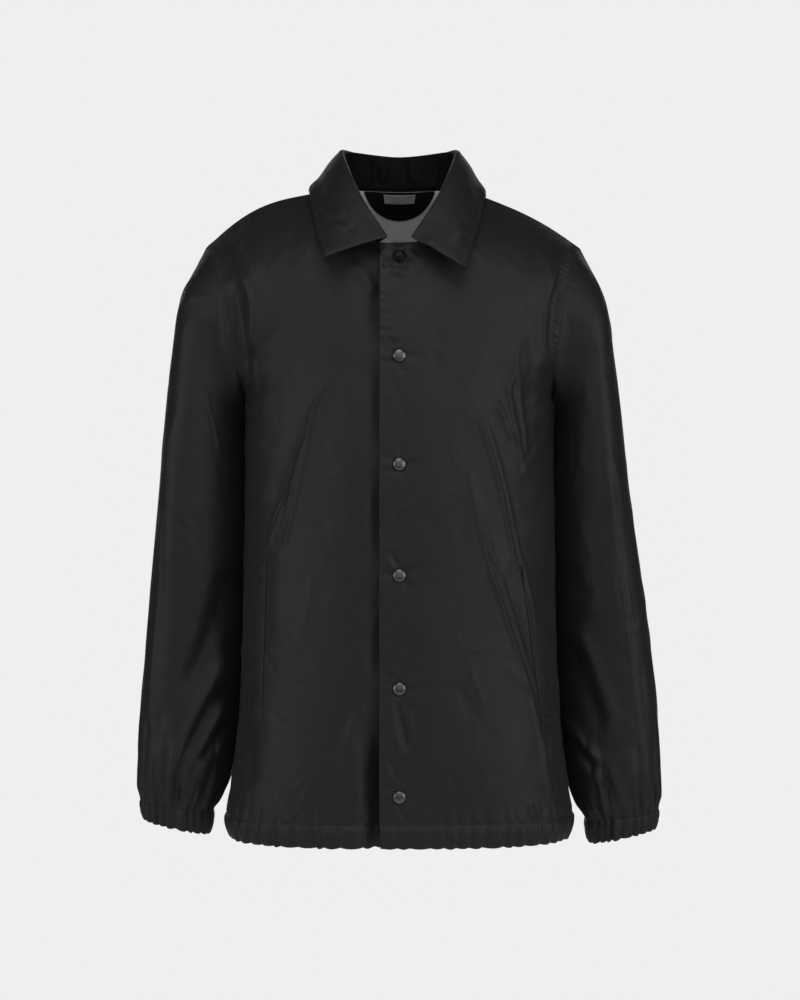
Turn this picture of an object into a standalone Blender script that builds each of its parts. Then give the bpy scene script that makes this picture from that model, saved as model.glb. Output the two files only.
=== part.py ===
"""A snap-front nylon windbreaker, filled out as it is worn with nobody in it.

Metres, +Z up. The front faces -Y and +X is the wearer's left. The origin is the middle of
the neck, level with the ends of the shoulder seams there.
"""

import math

import bmesh
import bpy
import numpy as np
from mathutils import Matrix, Vector

# Cloth and seams
WALL = 0.0015
THIN_WALL = 0.0010
SEAM_GAP = 0.0004
LAY_GAP = 0.0006
LINING_GAP = 0.0014
WELT_GAP = 0.0009

# Body
HEM_SEAM_Z = -0.709
HEM_HEIGHT = 0.025
HEM_DRAW_IN = 0.980
UNDERARM = (0.176, 0.004, -0.240)
SHOULDER_POINT = (0.215, 0.008, -0.066)
NECK_POINT = (0.072, 0.010, 0.004)
FRONT_OVERLAP = 0.021
COLLAR_MEETS_Z = -0.072
UNDER_DIP = 0.0034
SECTION_FULLNESS = 0.62
NECK_SHARE = 0.55
BLADE_FULLNESS = 0.008
UNDERARM_EASE = 0.004

# Snaps
SNAP_RADIUS = 0.0075
SNAP_HEIGHT = 0.0026
SNAP_HEIGHTS = (-0.086, -0.197, -0.316, -0.437, -0.560, -0.678)
SNAP_SIDES = 16

# Collar
COLLAR_ROLL = 0.0032
COLLAR_BULGE = 0.007
COLLAR_CLEARANCE = 0.0046

# Pockets, facing and label
WELT_WIDTH = 0.017
FACING_HALF_WIDTH = 0.040
FACING_DEPTH = 0.033
LABEL_SIZE = (0.036, 0.011)
LABEL_DROP = 0.0028

# Gathers
CUFF_GATHER = 0.0011
HEM_PUCKER = 0.0013
SLEEVE_GATHER = 0.0035

# Grid counts
FRONT_COLUMNS = 15
LOWER_ROWS = 7
CENTRE_ROWS = 6
NECK_ROWS = 5
BACK_NECK_COLUMNS = 6
SLEEVE_ROWS = 16
LINING_COLUMNS = 11


class Table:
    """Rows of named columns, read at any value of the first one along a smooth curve."""

    def __init__(self, names, *rows):
        self.names = names.split()
        self.rows = np.array(rows, float)

    def at(self, position):
        values = smooth(self.rows[:, 0], self.rows[:, 1:], position)
        return dict(zip(self.names[1:], np.moveaxis(values, -1, 0)))


# The body at heights from the hem seam to the underarm
TORSO = Table(
    "height half_width front back front_square back_square",
    (-0.709, 0.197, 0.137, 0.128, 0.79, 0.64),
    (-0.650, 0.189, 0.140, 0.127, 0.77, 0.63),
    (-0.600, 0.184, 0.141, 0.126, 0.74, 0.62),
    (-0.430, 0.178, 0.140, 0.123, 0.68, 0.62),
    (-0.300, 0.1765, 0.136, 0.123, 0.64, 0.62),
    (-0.240, 0.176, 0.131, 0.124, 0.62, 0.62),
)

# The middle of the front above the underarm
FRONT_MIDDLE = Table("height depth", (-0.240, 0.131), (-0.160, 0.121), (COLLAR_MEETS_Z, 0.097))

# The neckline from the front to the shoulder, and from the middle of the back to the shoulder
FRONT_NECK = ((0.022, -0.0945, -0.0700), (0.046, -0.0730, -0.0520), (0.064, -0.0330, -0.0240), NECK_POINT)
BACK_NECK = ((0.000, 0.078, 0.010), (0.034, 0.071, 0.010), (0.060, 0.047, 0.008), NECK_POINT)

# The armhole from the underarm to the shoulder
FRONT_ARMHOLE = (
    UNDERARM,
    (0.1765, -0.042, -0.2210),
    (0.1825, -0.062, -0.1875),
    (0.1890, -0.065, -0.1570),
    (0.1955, -0.057, -0.1130),
    (0.2060, -0.030, -0.0800),
    SHOULDER_POINT,
)
BACK_ARMHOLE = (
    UNDERARM,
    (0.1770, 0.048, -0.2210),
    (0.1840, 0.072, -0.1870),
    (0.1910, 0.076, -0.1550),
    (0.1980, 0.068, -0.1120),
    (0.2080, 0.042, -0.0800),
    SHOULDER_POINT,
)

# The sleeve by its outer and inner lines, as a share of the way from armhole to cuff
SLEEVE = Table(
    "share out_x out_z in_x in_y in_z front back",
    (0.13, 0.2415, -0.122, 0.1770, 0.034, -0.292, 0.080, 0.097),
    (0.26, 0.2535, -0.195, 0.1740, 0.046, -0.345, 0.083, 0.098),
    (0.50, 0.2695, -0.355, 0.1740, 0.044, -0.445, 0.084, 0.088),
    (0.70, 0.2850, -0.490, 0.1770, 0.044, -0.548, 0.080, 0.078),
    (0.86, 0.2945, -0.603, 0.1860, 0.036, -0.636, 0.075, 0.068),
    (0.95, 0.2955, -0.668, 0.1990, 0.018, -0.688, 0.066, 0.055),
    (1.00, 0.2945, -0.704, 0.2130, 0.000, -0.715, 0.046, 0.034),
)
SLEEVE_SQUARE = 0.86
SLEEVE_CLEARANCE = 0.0045
CUFF_END = {
    "out_x": 0.291,
    "out_z": -0.7235,
    "in_x": 0.2165,
    "in_y": 0.0,
    "in_z": -0.7400,
    "front": 0.043,
    "back": 0.031,
}

# How each side hangs: its shoulder out or in, the shoulder's arch, its cuff up or down
SIDES = {
    "left": {"sign": 1, "shoulder_out": -0.0075, "shoulder_arch": 0.007, "cuff_up": -0.0040},
    "right": {"sign": -1, "shoulder_out": 0.0075, "shoulder_arch": 0.018, "cuff_up": 0.0065},
}

# The collar's fold and outer edge from the front end to the middle of the back
COLLAR = Table(
    "share fold_x fold_y fold_z edge_x edge_y edge_z",
    (0.00, 0.0135, -0.1015, -0.0655, 0.081, -0.124, -0.099),
    (0.20, 0.0395, -0.0720, -0.0230, 0.090, -0.085, -0.068),
    (0.42, 0.0590, -0.0230, 0.0225, 0.097, -0.035, -0.033),
    (0.60, 0.0660, 0.0220, 0.0475, 0.099, 0.022, -0.009),
    (0.80, 0.0500, 0.0670, 0.0520, 0.076, 0.076, -0.012),
    (1.00, 0.0000, 0.0880, 0.0500, 0.000, 0.104, -0.020),
    (1.20, -0.0500, 0.0670, 0.0520, -0.076, 0.076, -0.012),
)

# Pocket welts, top and bottom, as seen from the front
POCKETS = {
    "left": {"top": (0.1420, -0.426), "bottom": (0.1660, -0.603)},
    "right": {"top": (-0.1550, -0.420), "bottom": (-0.1600, -0.600)},
}

# Folds as seen from the front or back: start, middle and end, half width, height (troughs are negative)
FOLD_COLUMNS = "piece view x0 z0 x1 z1 x2 z2 width height".split()
FOLDS = (
    ("front_right", "front", -0.194, -0.105, -0.164, -0.140, -0.166, -0.215, 0.017, 0.0096),
    ("front_right", "front", -0.186, -0.150, -0.180, -0.175, -0.172, -0.210, 0.015, -0.0072),
    ("front_right", "front", -0.077, -0.210, -0.105, -0.320, -0.150, -0.410, 0.016, 0.0060),
    ("front_right", "front", -0.150, -0.230, -0.162, -0.300, -0.158, -0.390, 0.018, 0.0060),
    ("front_right", "front", -0.042, -0.130, -0.050, -0.280, -0.044, -0.420, 0.022, 0.0048),
    ("front_right", "front", -0.030, -0.560, -0.033, -0.640, -0.030, -0.720, 0.018, -0.0096),
    ("front_right", "front", -0.060, -0.560, -0.065, -0.640, -0.066, -0.720, 0.022, 0.0060),
    ("front_left", "front", 0.068, -0.220, 0.090, -0.310, 0.124, -0.400, 0.016, 0.0066),
    ("front_left", "front", 0.073, -0.306, 0.104, -0.430, 0.150, -0.575, 0.016, 0.0060),
    ("front_left", "front", 0.104, -0.245, 0.120, -0.290, 0.140, -0.345, 0.016, 0.0054),
    ("front_left", "front", 0.132, -0.180, 0.124, -0.230, 0.134, -0.290, 0.016, 0.0060),
    ("front_left", "front", 0.150, -0.140, 0.152, -0.185, 0.146, -0.225, 0.015, -0.0072),
    ("front_left", "front", 0.158, -0.600, 0.164, -0.640, 0.168, -0.720, 0.016, 0.0060),
    ("front_left", "front", 0.030, -0.430, 0.036, -0.560, 0.040, -0.720, 0.022, 0.0036),
    ("back", "back", 0.120, -0.180, 0.105, -0.290, 0.070, -0.380, 0.020, 0.0060),
    ("back", "back", -0.120, -0.180, -0.100, -0.300, -0.060, -0.400, 0.020, 0.0060),
    ("back", "back", 0.150, -0.330, 0.130, -0.480, 0.125, -0.640, 0.022, 0.0060),
    ("back", "back", -0.150, -0.320, -0.135, -0.470, -0.128, -0.640, 0.022, 0.0060),
    ("back", "back", 0.040, -0.420, 0.030, -0.560, 0.034, -0.700, 0.026, 0.0048),
    ("back", "back", -0.045, -0.440, -0.040, -0.580, -0.046, -0.700, 0.026, 0.0048),
    ("sleeve_right", "front", -0.256, -0.245, -0.264, -0.350, -0.270, -0.510, 0.017, 0.0066),
    ("sleeve_right", "front", -0.180, -0.460, -0.205, -0.500, -0.235, -0.550, 0.016, 0.0066),
    ("sleeve_right", "front", -0.190, -0.540, -0.222, -0.610, -0.255, -0.680, 0.016, 0.0072),
    ("sleeve_right", "front", -0.190, -0.600, -0.210, -0.640, -0.225, -0.690, 0.015, 0.0060),
    ("sleeve_left", "front", 0.226, -0.200, 0.232, -0.300, 0.244, -0.390, 0.017, 0.0060),
    ("sleeve_left", "front", 0.245, -0.390, 0.258, -0.510, 0.272, -0.650, 0.016, 0.0066),
    ("sleeve_left", "front", 0.184, -0.490, 0.200, -0.520, 0.220, -0.550, 0.016, 0.0060),
    ("sleeve_left", "front", 0.190, -0.600, 0.212, -0.640, 0.245, -0.690, 0.016, 0.0066),
    ("sleeve_right", "back", -0.200, -0.420, -0.235, -0.450, -0.265, -0.440, 0.018, 0.0066),
    ("sleeve_right", "back", -0.200, -0.520, -0.235, -0.570, -0.280, -0.580, 0.018, 0.0060),
    ("sleeve_left", "back", 0.200, -0.430, 0.235, -0.460, 0.262, -0.450, 0.018, 0.0066),
    ("sleeve_left", "back", 0.200, -0.530, 0.235, -0.575, 0.280, -0.590, 0.018, 0.0060),
)

# Colour, roughness and metal of each material
MATERIALS = {
    "shell_nylon": ((0.020, 0.020, 0.022, 1.0), 0.50, 0.0),
    "lining": ((0.115, 0.115, 0.118, 1.0), 0.65, 0.0),
    "label": ((0.330, 0.330, 0.335, 1.0), 0.45, 0.0),
    "snap_metal": ((0.060, 0.060, 0.063, 1.0), 0.35, 1.0),
}


def unit(vectors):
    return vectors / np.maximum(np.linalg.norm(vectors, axis=-1, keepdims=True), 1e-12)


def smooth(knots, values, at):
    """A curve through values at rising knots, with slopes from the neighbours."""
    knots = np.asarray(knots, float)
    values = np.asarray(values, float)
    at = np.clip(np.asarray(at, float), knots[0], knots[-1])
    slopes = np.gradient(values, knots, axis=0)
    i = np.clip(np.searchsorted(knots, at, side="right") - 1, 0, len(knots) - 2)
    wide = (...,) + (None,) * (values.ndim - 1)
    step = (knots[i + 1] - knots[i])[wide]
    t = ((at - knots[i]) / (knots[i + 1] - knots[i]))[wide]
    from_start = (1 + 2 * t) * (1 - t) ** 2 * values[i] + t * (1 - t) ** 2 * step * slopes[i]
    from_end = t * t * (3 - 2 * t) * values[i + 1] - t * t * (1 - t) * step * slopes[i + 1]
    return from_start + from_end


def along(points, shares):
    """Points at shares of the length of a smooth curve through a few points."""
    points = np.asarray(points, float)
    steps = np.linalg.norm(np.diff(points, axis=0), axis=1)
    knots = np.concatenate([[0.0], np.cumsum(steps)]) / steps.sum()
    return smooth(knots, points, shares)


def ramp(value, start, end):
    """0 at start, 1 at end, eased between."""
    t = np.clip((value - start) / (end - start), 0.0, 1.0)
    return t * t * (3 - 2 * t)


def row_curve(start, end, turn, shares, fullness=SECTION_FULLNESS):
    """From the middle to the side, leaving along X and arriving along Y where it turns fully."""
    run = end - start
    first = start + run * np.array([fullness, fullness * (1 - turn), 1 / 3])
    last = end - run * np.array([fullness * (1 - turn), fullness, 1 / 3])
    u = np.asarray(shares)[:, None]
    return (1 - u) ** 3 * start + 3 * u * (1 - u) ** 2 * first + 3 * u * u * (1 - u) * last + u**3 * end


def subdivided(points, parts, closed=False):
    """Straight subdivisions of a row of points."""
    ends = np.concatenate([points, points[:1]]) if closed else points
    t = np.arange(parts) / parts
    filled = (ends[:-1, None] * (1 - t[:, None]) + ends[1:, None] * t[:, None]).reshape(-1, 3)
    return filled if closed else np.concatenate([filled, points[-1:]])


class Sheet:
    """A cloth piece as rows of points, its wall built half to each side of them."""

    def __init__(self, name, grid, wall=WALL, closed=False, material="shell_nylon", halved=False):
        self.name = name
        self.grid = np.array(grid, float)
        self.wall = wall
        self.closed = closed
        self.material = material
        self.halved = halved
        self.find_normals()

    def find_normals(self):
        grid = self.grid
        if self.closed:
            across = np.roll(grid, -1, axis=1) - np.roll(grid, 1, axis=1)
        else:
            across = np.gradient(grid, axis=1)
        self.normals = unit(np.cross(across, np.gradient(grid, axis=0)))
        self.facing = self.normals.copy()

    def fold(self):
        """Raise the folds listed for this piece, less and less towards its seams."""
        rows, columns = self.grid.shape[:2]
        height = np.zeros((rows, columns))
        for values in FOLDS:
            row = dict(zip(FOLD_COLUMNS, values))
            if row["piece"] == self.name:
                facing = self.normals[..., 1] * (1 if row["view"] == "back" else -1)
                height += fold_height(row, self.grid) * np.clip(1.6 * facing, 0.0, 1.0)
        if not self.closed:
            height *= self.seam_fade()
        else:
            share = np.arange(rows)[:, None]
            height *= np.clip(share / 2, 0, 1) * np.clip((rows - 1 - share) / 3, 0, 1)
        self.grid += self.normals * height[..., None]
        self.find_normals()

    def seam_fade(self):
        """0 along the seams and 1 from two cells in; the front edges and hem rows stay free."""
        rows, columns = self.grid.shape[:2]
        column = np.arange(columns)[None, :]
        from_start = np.clip(column / 2.0, 0, 1)
        from_end = np.clip((columns - 1 - column) / 2.0, 0, 1)
        from_top = np.clip((rows - 1 - np.arange(rows)[:, None]) / 2.0, 0, 1)
        if self.name == "front_left":
            from_start = np.ones_like(from_start)
        if self.name == "front_right":
            from_end = np.ones_like(from_end)
        return from_start * from_end * from_top

    def edge_cells(self):
        rows, columns = self.grid.shape[:2]
        for r in range(rows):
            for c in range(columns):
                if r in (0, rows - 1) or (not self.closed and c in (0, columns - 1)):
                    yield r, c

    def inward(self, r, c):
        """The way into the piece from a place on its edge, square to the edge."""
        rows, columns = self.grid.shape[:2]
        dr = 1 if r == 0 else -1 if r == rows - 1 else 0
        dc = 0
        if not self.closed:
            dc = 1 if c == 0 else -1 if c == columns - 1 else 0
        here = self.grid[r, c]
        way = self.grid[r + dr, c + dc] - here
        if dr == 0:
            edge = self.grid[r + 1, c] - self.grid[r - 1, c]
        elif dc == 0:
            edge = self.grid[r, (c + 1) % columns] - self.grid[r, c - 1]
        else:
            return unit(way)
        edge = unit(edge)
        return unit(way - edge * way.dot(edge))

    def at(self, row, column, lift=0.0):
        """A point between grid points, lifted along the normal."""
        rows, columns = self.grid.shape[:2]
        r = np.clip(np.floor(row).astype(int), 0, rows - 2)
        c = np.clip(np.floor(column).astype(int), 0, columns - 2)
        a = np.asarray(row - r)[..., None]
        b = np.asarray(column - c)[..., None]

        def blend(grid):
            low = grid[r, c] * (1 - b) + grid[r, c + 1] * b
            high = grid[r + 1, c] * (1 - b) + grid[r + 1, c + 1] * b
            return low * (1 - a) + high * a

        return blend(self.grid) + unit(blend(self.facing)) * np.asarray(lift)[..., None]

    def place_of(self, x, z):
        """The row and column seen at x, z from the front or back."""
        rows, columns = self.grid.shape[:2]
        row = np.linspace(0, rows - 1, 400)[:, None] + np.zeros((1, 400))
        column = np.linspace(0, columns - 1, 400)[None, :] + np.zeros((400, 1))
        points = self.at(row, column)
        nearest = np.argmin((points[..., 0] - x) ** 2 + (points[..., 2] - z) ** 2)
        return row.flat[nearest], column.flat[nearest]

    def build(self):
        """The closed wall as an object."""
        rows, columns = self.grid.shape[:2]
        half = self.normals * self.wall / 2
        mesh = bmesh.new()
        outer = [[mesh.verts.new(p) for p in row] for row in self.grid + half]
        inner = [[mesh.verts.new(p) for p in row] for row in self.grid - half]
        for r in range(rows - 1):
            for c in range(columns if self.closed else columns - 1):
                d = (c + 1) % columns
                mesh.faces.new((outer[r][c], outer[r][d], outer[r + 1][d], outer[r + 1][c]))
                mesh.faces.new((inner[r + 1][c], inner[r + 1][d], inner[r][d], inner[r][c]))
            if not self.closed:
                mesh.faces.new((outer[r][0], outer[r + 1][0], inner[r + 1][0], inner[r][0]))
                mesh.faces.new((outer[r + 1][-1], outer[r][-1], inner[r][-1], inner[r + 1][-1]))
        for c in range(columns if self.closed else columns - 1):
            d = (c + 1) % columns
            mesh.faces.new((outer[0][d], outer[0][c], inner[0][c], inner[0][d]))
            mesh.faces.new((outer[-1][c], outer[-1][d], inner[-1][d], inner[-1][c]))
        return add_object(self.name, mesh, self.material)


def fold_height(row, points):
    """How far a fold lifts the cloth at these points."""
    t = np.linspace(0, 1, 25)[:, None]
    corners = [np.array([row["x%d" % i], row["z%d" % i]]) for i in range(3)]
    bend = 2 * corners[1] - (corners[0] + corners[2]) / 2
    line = (1 - t) ** 2 * corners[0] + 2 * t * (1 - t) * bend + t * t * corners[2]
    offset = points[..., None, (0, 2)] - line
    distance = np.linalg.norm(offset, axis=-1)
    nearest = np.argmin(distance, axis=-1)
    across = np.take_along_axis(distance, nearest[..., None], axis=-1)[..., 0] / row["width"]
    taper = np.sin(np.pi * np.clip(nearest / 24, 0.04, 0.96)) ** 0.6
    return row["height"] * taper * np.exp(-across * across)


def add_object(name, mesh, material):
    bmesh.ops.recalc_face_normals(mesh, faces=mesh.faces)
    data = bpy.data.meshes.new(name)
    mesh.to_mesh(data)
    mesh.free()
    data.materials.append(make_material(material))
    made = bpy.data.objects.new(name, data)
    bpy.context.scene.collection.objects.link(made)
    return made


def make_material(name):
    found = bpy.data.materials.get(name)
    if found:
        return found
    colour, roughness, metallic = MATERIALS[name]
    made = bpy.data.materials.new(name)
    made.use_nodes = True
    shader = made.node_tree.nodes["Principled BSDF"]
    shader.inputs["Base Color"].default_value = colour
    shader.inputs["Roughness"].default_value = roughness
    shader.inputs["Metallic"].default_value = metallic
    return made


def upper_shares():
    """Rows from the underarm to the shoulder: up the front edge, to the collar, round the neck."""
    centre = np.linspace(0, NECK_SHARE, CENTRE_ROWS + 1)
    neck = np.linspace(NECK_SHARE + 0.06, 1, NECK_ROWS + 1)
    return np.concatenate([centre, neck])


def armhole(points, side, shares):
    curve = along(points, shares)
    curve[:, 0] += SIDES[side]["shoulder_out"] * ramp(shares, 0.0, 0.5)
    return curve


def shoulder_seam(side, shares):
    end = np.array(SHOULDER_POINT) + (SIDES[side]["shoulder_out"], 0, 0)
    line = np.array(NECK_POINT) + (end - np.array(NECK_POINT)) * shares[:, None]
    line[:, 2] += SIDES[side]["shoulder_arch"] * np.sin(np.pi * shares**1.3)
    return line


def front_section(size, z, shares):
    start = np.array([-FRONT_OVERLAP, -size["front"], z])
    end = np.array([size["half_width"], UNDERARM[1], z])
    return row_curve(start, end, 1.0, shares, size["front_square"])


def back_section(size, z, shares):
    start = np.array([0, size["back"], z])
    end = np.array([size["half_width"], UNDERARM[1], z])
    return row_curve(start, end, 1.0, shares, size["back_square"])


def front_half(side):
    """Rows of points from the front edge to the side, as if on the wearer's left."""
    shares = np.linspace(0, 1, FRONT_COLUMNS + 1)
    rows = []
    for z in np.linspace(HEM_SEAM_Z, UNDERARM[2], LOWER_ROWS + 1)[:-1]:
        size = TORSO.at(z)
        rows.append(front_section(size, z, shares))
    upper = upper_shares()
    heights = np.linspace(UNDERARM[2], COLLAR_MEETS_Z, CENTRE_ROWS + 1)
    depth = FRONT_MIDDLE.at(heights)["depth"]
    edge = np.stack([np.full_like(heights, -FRONT_OVERLAP), -depth, heights], axis=1)
    neck = along(FRONT_NECK, np.linspace(0, 1, NECK_ROWS + 1))
    edge = np.concatenate([edge, neck])
    turns = np.interp(upper, (0, 0.55, 1), (1.0, 0.75, 0.1))
    for start, end, turn in zip(edge, armhole(FRONT_ARMHOLE, side, upper), turns):
        rows.append(row_curve(start, end, turn, shares))
    grid = np.array(rows)
    miss = shoulder_seam(side, shares) - grid[-1]
    weight = np.concatenate([np.zeros(LOWER_ROWS), upper**3])
    return grid + weight[:, None, None] * miss


def back_half(side):
    """Rows of points from the middle of the back to the side, as if on the wearer's left."""
    neck_part = np.linspace(0, 0.30, BACK_NECK_COLUMNS + 1)
    shares = np.concatenate([neck_part[:-1], np.linspace(0.30, 1, FRONT_COLUMNS + 1)])
    rows = []
    for z in np.linspace(HEM_SEAM_Z, UNDERARM[2], LOWER_ROWS + 1)[:-1]:
        size = TORSO.at(z)
        rows.append(back_section(size, z, shares))
    size = TORSO.at(UNDERARM[2])
    low = back_section(size, UNDERARM[2], shares)
    neck = along(BACK_NECK, np.linspace(0, 1, BACK_NECK_COLUMNS + 1))
    top = np.concatenate([neck[:-1], shoulder_seam(side, np.linspace(0, 1, FRONT_COLUMNS + 1))])
    over = ramp(shares, 0.0, 0.42)[:, None]
    lift = 0.105 * (1 - 0.75 * shares**2)
    first = low + np.stack([0 * lift, BLADE_FULLNESS + 0 * lift, lift], axis=1)
    last = top + np.array([0, 0.022, -0.066]) * (1 - over) + np.array([0, 0.080, -0.036]) * over
    upper = upper_shares()
    w = upper[:, None, None]
    rise = (1 - w) ** 3 * low + 3 * w * (1 - w) ** 2 * first + 3 * w * w * (1 - w) * last + w**3 * top
    miss = armhole(BACK_ARMHOLE, side, upper) - rise[:, -1]
    rise += (shares**4)[None, :, None] * miss[:, None]
    return np.concatenate([np.array(rows), rise])


def on_side(grid, side, closed=False):
    """A left-hand grid moved to its side, columns still running the same way round the body."""
    if SIDES[side]["sign"] > 0:
        return grid
    flipped = grid[:, ::-1] * np.array([-1, 1, 1])
    return np.roll(flipped, 1, axis=1) if closed else flipped


def tuck_under(sheet):
    """Sink the right front's edge behind the left front."""
    x = sheet.grid[..., 0]
    z = sheet.grid[..., 2]
    depth = UNDER_DIP * ramp(x, -0.062, -0.026) + 0.004 * ramp(x, -0.020, 0.021)
    depth += 0.006 * ramp(x, -0.045, -0.015) * ramp(z, -0.56, -0.66)
    sheet.grid += np.stack([0 * depth, depth, 0 * depth], axis=-1)
    sheet.find_normals()


def ring(size, side, share, angles):
    """A sleeve or cuff section from its inner line round the front, as if on the wearer's left."""
    way = SIDES[side]
    out_x = size["out_x"] + way["shoulder_out"] * (1 - ramp(share, 0.3, 0.9))
    inner = np.array([size["in_x"], 0, size["in_z"]])
    outer = np.array([out_x, 0, size["out_z"]])
    middle_y = (size["back"] - size["front"]) / 2
    half_depth = (size["back"] + size["front"]) / 2
    over = -np.sign(np.cos(angles)) * np.abs(np.cos(angles)) ** SLEEVE_SQUARE
    ahead = np.sign(np.sin(angles)) * np.abs(np.sin(angles)) ** SLEEVE_SQUARE
    points = (inner + outer) / 2 + (outer - inner) / 2 * over[:, None]
    points[:, 1] = middle_y - half_depth * ahead + size["in_y"] * (1 - over) / 2
    points[:, 2] += way["cuff_up"] * share * share
    return points


def sleeve_half(side, front, back):
    """The sleeve's rows of points from cuff to armhole, as if on the wearer's left."""
    ease = np.where(upper_shares() < 0.25, UNDERARM_EASE * (1 - 2 * upper_shares()), 0.0)
    loop = np.concatenate([front, back[::-1][1:-1]])
    loop[:, 0] += np.concatenate([ease, ease[::-1][1:-1]])
    angles = np.linspace(0, 2 * np.pi, len(loop) + 1)[:-1]
    stations = [loop]
    for share in SLEEVE.rows[:, 0]:
        stations.append(ring(SLEEVE.at(share), side, share, angles))
    knots = np.concatenate([[0.0], SLEEVE.rows[:, 0]])
    shares = np.linspace(0, 1, SLEEVE_ROWS + 1)
    rows = smooth(knots, np.array(stations), shares)
    middle = rows.mean(axis=1, keepdims=True)
    out = unit(rows - middle)
    wave = np.where(np.arange(len(loop)) % 2, 1.0, -0.6)
    wave = wave * (0.7 + 0.3 * np.sin(2.3 * np.arange(len(loop))))
    gather = SLEEVE_GATHER * ramp(shares, 0.84, 0.96) * (1 - ramp(shares, 0.965, 1.0))
    rows = rows + out * (gather[:, None] * wave)[..., None]
    return clear_of_body(rows)[::-1]


def clear_of_body(rows):
    """Sleeve points moved out where they would come into the side of the body."""
    shares = np.linspace(0, 1, 41)
    for point in rows.reshape(-1, 3):
        z = min(max(point[2], HEM_SEAM_Z), UNDERARM[2])
        if point[2] > UNDERARM[2]:
            continue
        size = TORSO.at(z)
        line = np.concatenate([front_section(size, z, shares), back_section(size, z, shares)[::-1][1:]])
        nearest = np.interp(point[1], line[:, 1], line[:, 0])
        point[0] = max(point[0], nearest + SLEEVE_CLEARANCE)
    return rows


def cuff_half(side, end_row):
    """The cuff's rows of points from its mouth to the sleeve, as if on the wearer's left."""
    top = subdivided(end_row, 2, closed=True)
    angles = np.linspace(0, 2 * np.pi, len(top) + 1)[:-1]
    mouth = ring(CUFF_END, side, 1.0, angles)
    out = unit(mouth - mouth.mean(axis=0))
    wave = np.where(np.arange(len(top)) % 2, 1.0, -1.0) * (0.8 + 0.2 * np.sin(1.7 * np.arange(len(top))))
    rows = []
    for share, depth in ((1.0, 0.8), (0.35, 1.0), (0.0, 0.0)):
        rows.append(top * (1 - share) + mouth * share + out * (CUFF_GATHER * depth * wave)[:, None])
    return np.array(rows)


def hem_casing(sheet):
    """A hem casing below a panel's lowest row, puckered along its seam and edge."""
    halved = sheet.name != "back"
    top = subdivided(sheet.grid[0], 2) if halved else sheet.grid[0]
    n = np.arange(len(top))
    wave = np.where(n % 2, 1.0, -1.0) * (0.65 + 0.35 * np.sin(1.9 * n + 0.6))
    wave *= ramp(np.abs(top[:, 0]), 0.03, 0.06) if halved else 1.0
    wave[:2] = 0
    wave[-2:] = 0
    out = unit(top * np.array([1, 1, 0]))
    bottom = top * np.array([HEM_DRAW_IN, HEM_DRAW_IN, 1]) - np.array([0, 0, HEM_HEIGHT])
    middle = top * 0.45 + bottom * 0.55 + out * 0.0012
    rows = (
        bottom + out * (HEM_PUCKER * 0.7 * wave)[:, None],
        middle + out * (HEM_PUCKER * wave)[:, None],
        top,
    )
    return Sheet("hem_" + sheet.name, rows, halved=halved)


def collar_rows(neck, panels):
    """The collar from the neck seam up, over the fold and down to its outer edge."""
    steps = np.linalg.norm(np.diff(neck, axis=0), axis=1)
    length = np.concatenate([[0.0], np.cumsum(steps)])
    middle = len(neck) // 2
    shares = np.where(np.arange(len(neck)) <= middle, length / length[middle], 0.0)
    shares[middle:] = (length[-1] - length[middle:]) / (length[-1] - length[middle])
    sign = np.where(np.arange(len(neck)) <= middle, 1.0, -1.0)
    size = COLLAR.at(shares)
    fold = np.stack([sign * size["fold_x"], size["fold_y"], size["fold_z"]], axis=1)
    edge = np.stack([sign * size["edge_x"], size["edge_y"], size["edge_z"]], axis=1)
    up = unit(fold - (neck + edge) / 2)
    out = edge - neck
    out = unit(out - up * np.sum(out * up, axis=1, keepdims=True))
    rows = [neck]
    centre = fold - up * COLLAR_ROLL
    start = centre - out * COLLAR_ROLL
    rows.append(neck * 0.5 + start * 0.5)
    for angle in (180, 135, 90, 45, 0):
        turn = math.radians(angle)
        rows.append(centre + out * COLLAR_ROLL * math.cos(turn) + up * COLLAR_ROLL * math.sin(turn))
    start = rows[-1]
    for share in (1 / 3, 2 / 3, 1.0):
        bulge = COLLAR_BULGE * math.sin(math.pi * share * 0.85)
        rows.append(start + (edge - start) * share + (out + up) * 0.7 * bulge)
    rows = np.array(rows)
    for r in range(len(rows) - 2, len(rows)):
        rows[r] = kept_above(rows[r], panels, COLLAR_CLEARANCE)
    return rows


def kept_above(points, panels, clearance):
    """Points moved out where they come too near the panels below them."""
    base = np.concatenate([panel.grid.reshape(-1, 3) for panel in panels])
    normals = np.concatenate([panel.normals.reshape(-1, 3) for panel in panels])
    moved = points.copy()
    for i, point in enumerate(points):
        near = np.argsort(np.linalg.norm(base - point, axis=1))[:3]
        height = np.sum((point - base[near]) * normals[near], axis=1).min()
        if height < clearance:
            moved[i] += normals[near[0]] * (clearance - height)
    return moved


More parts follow.
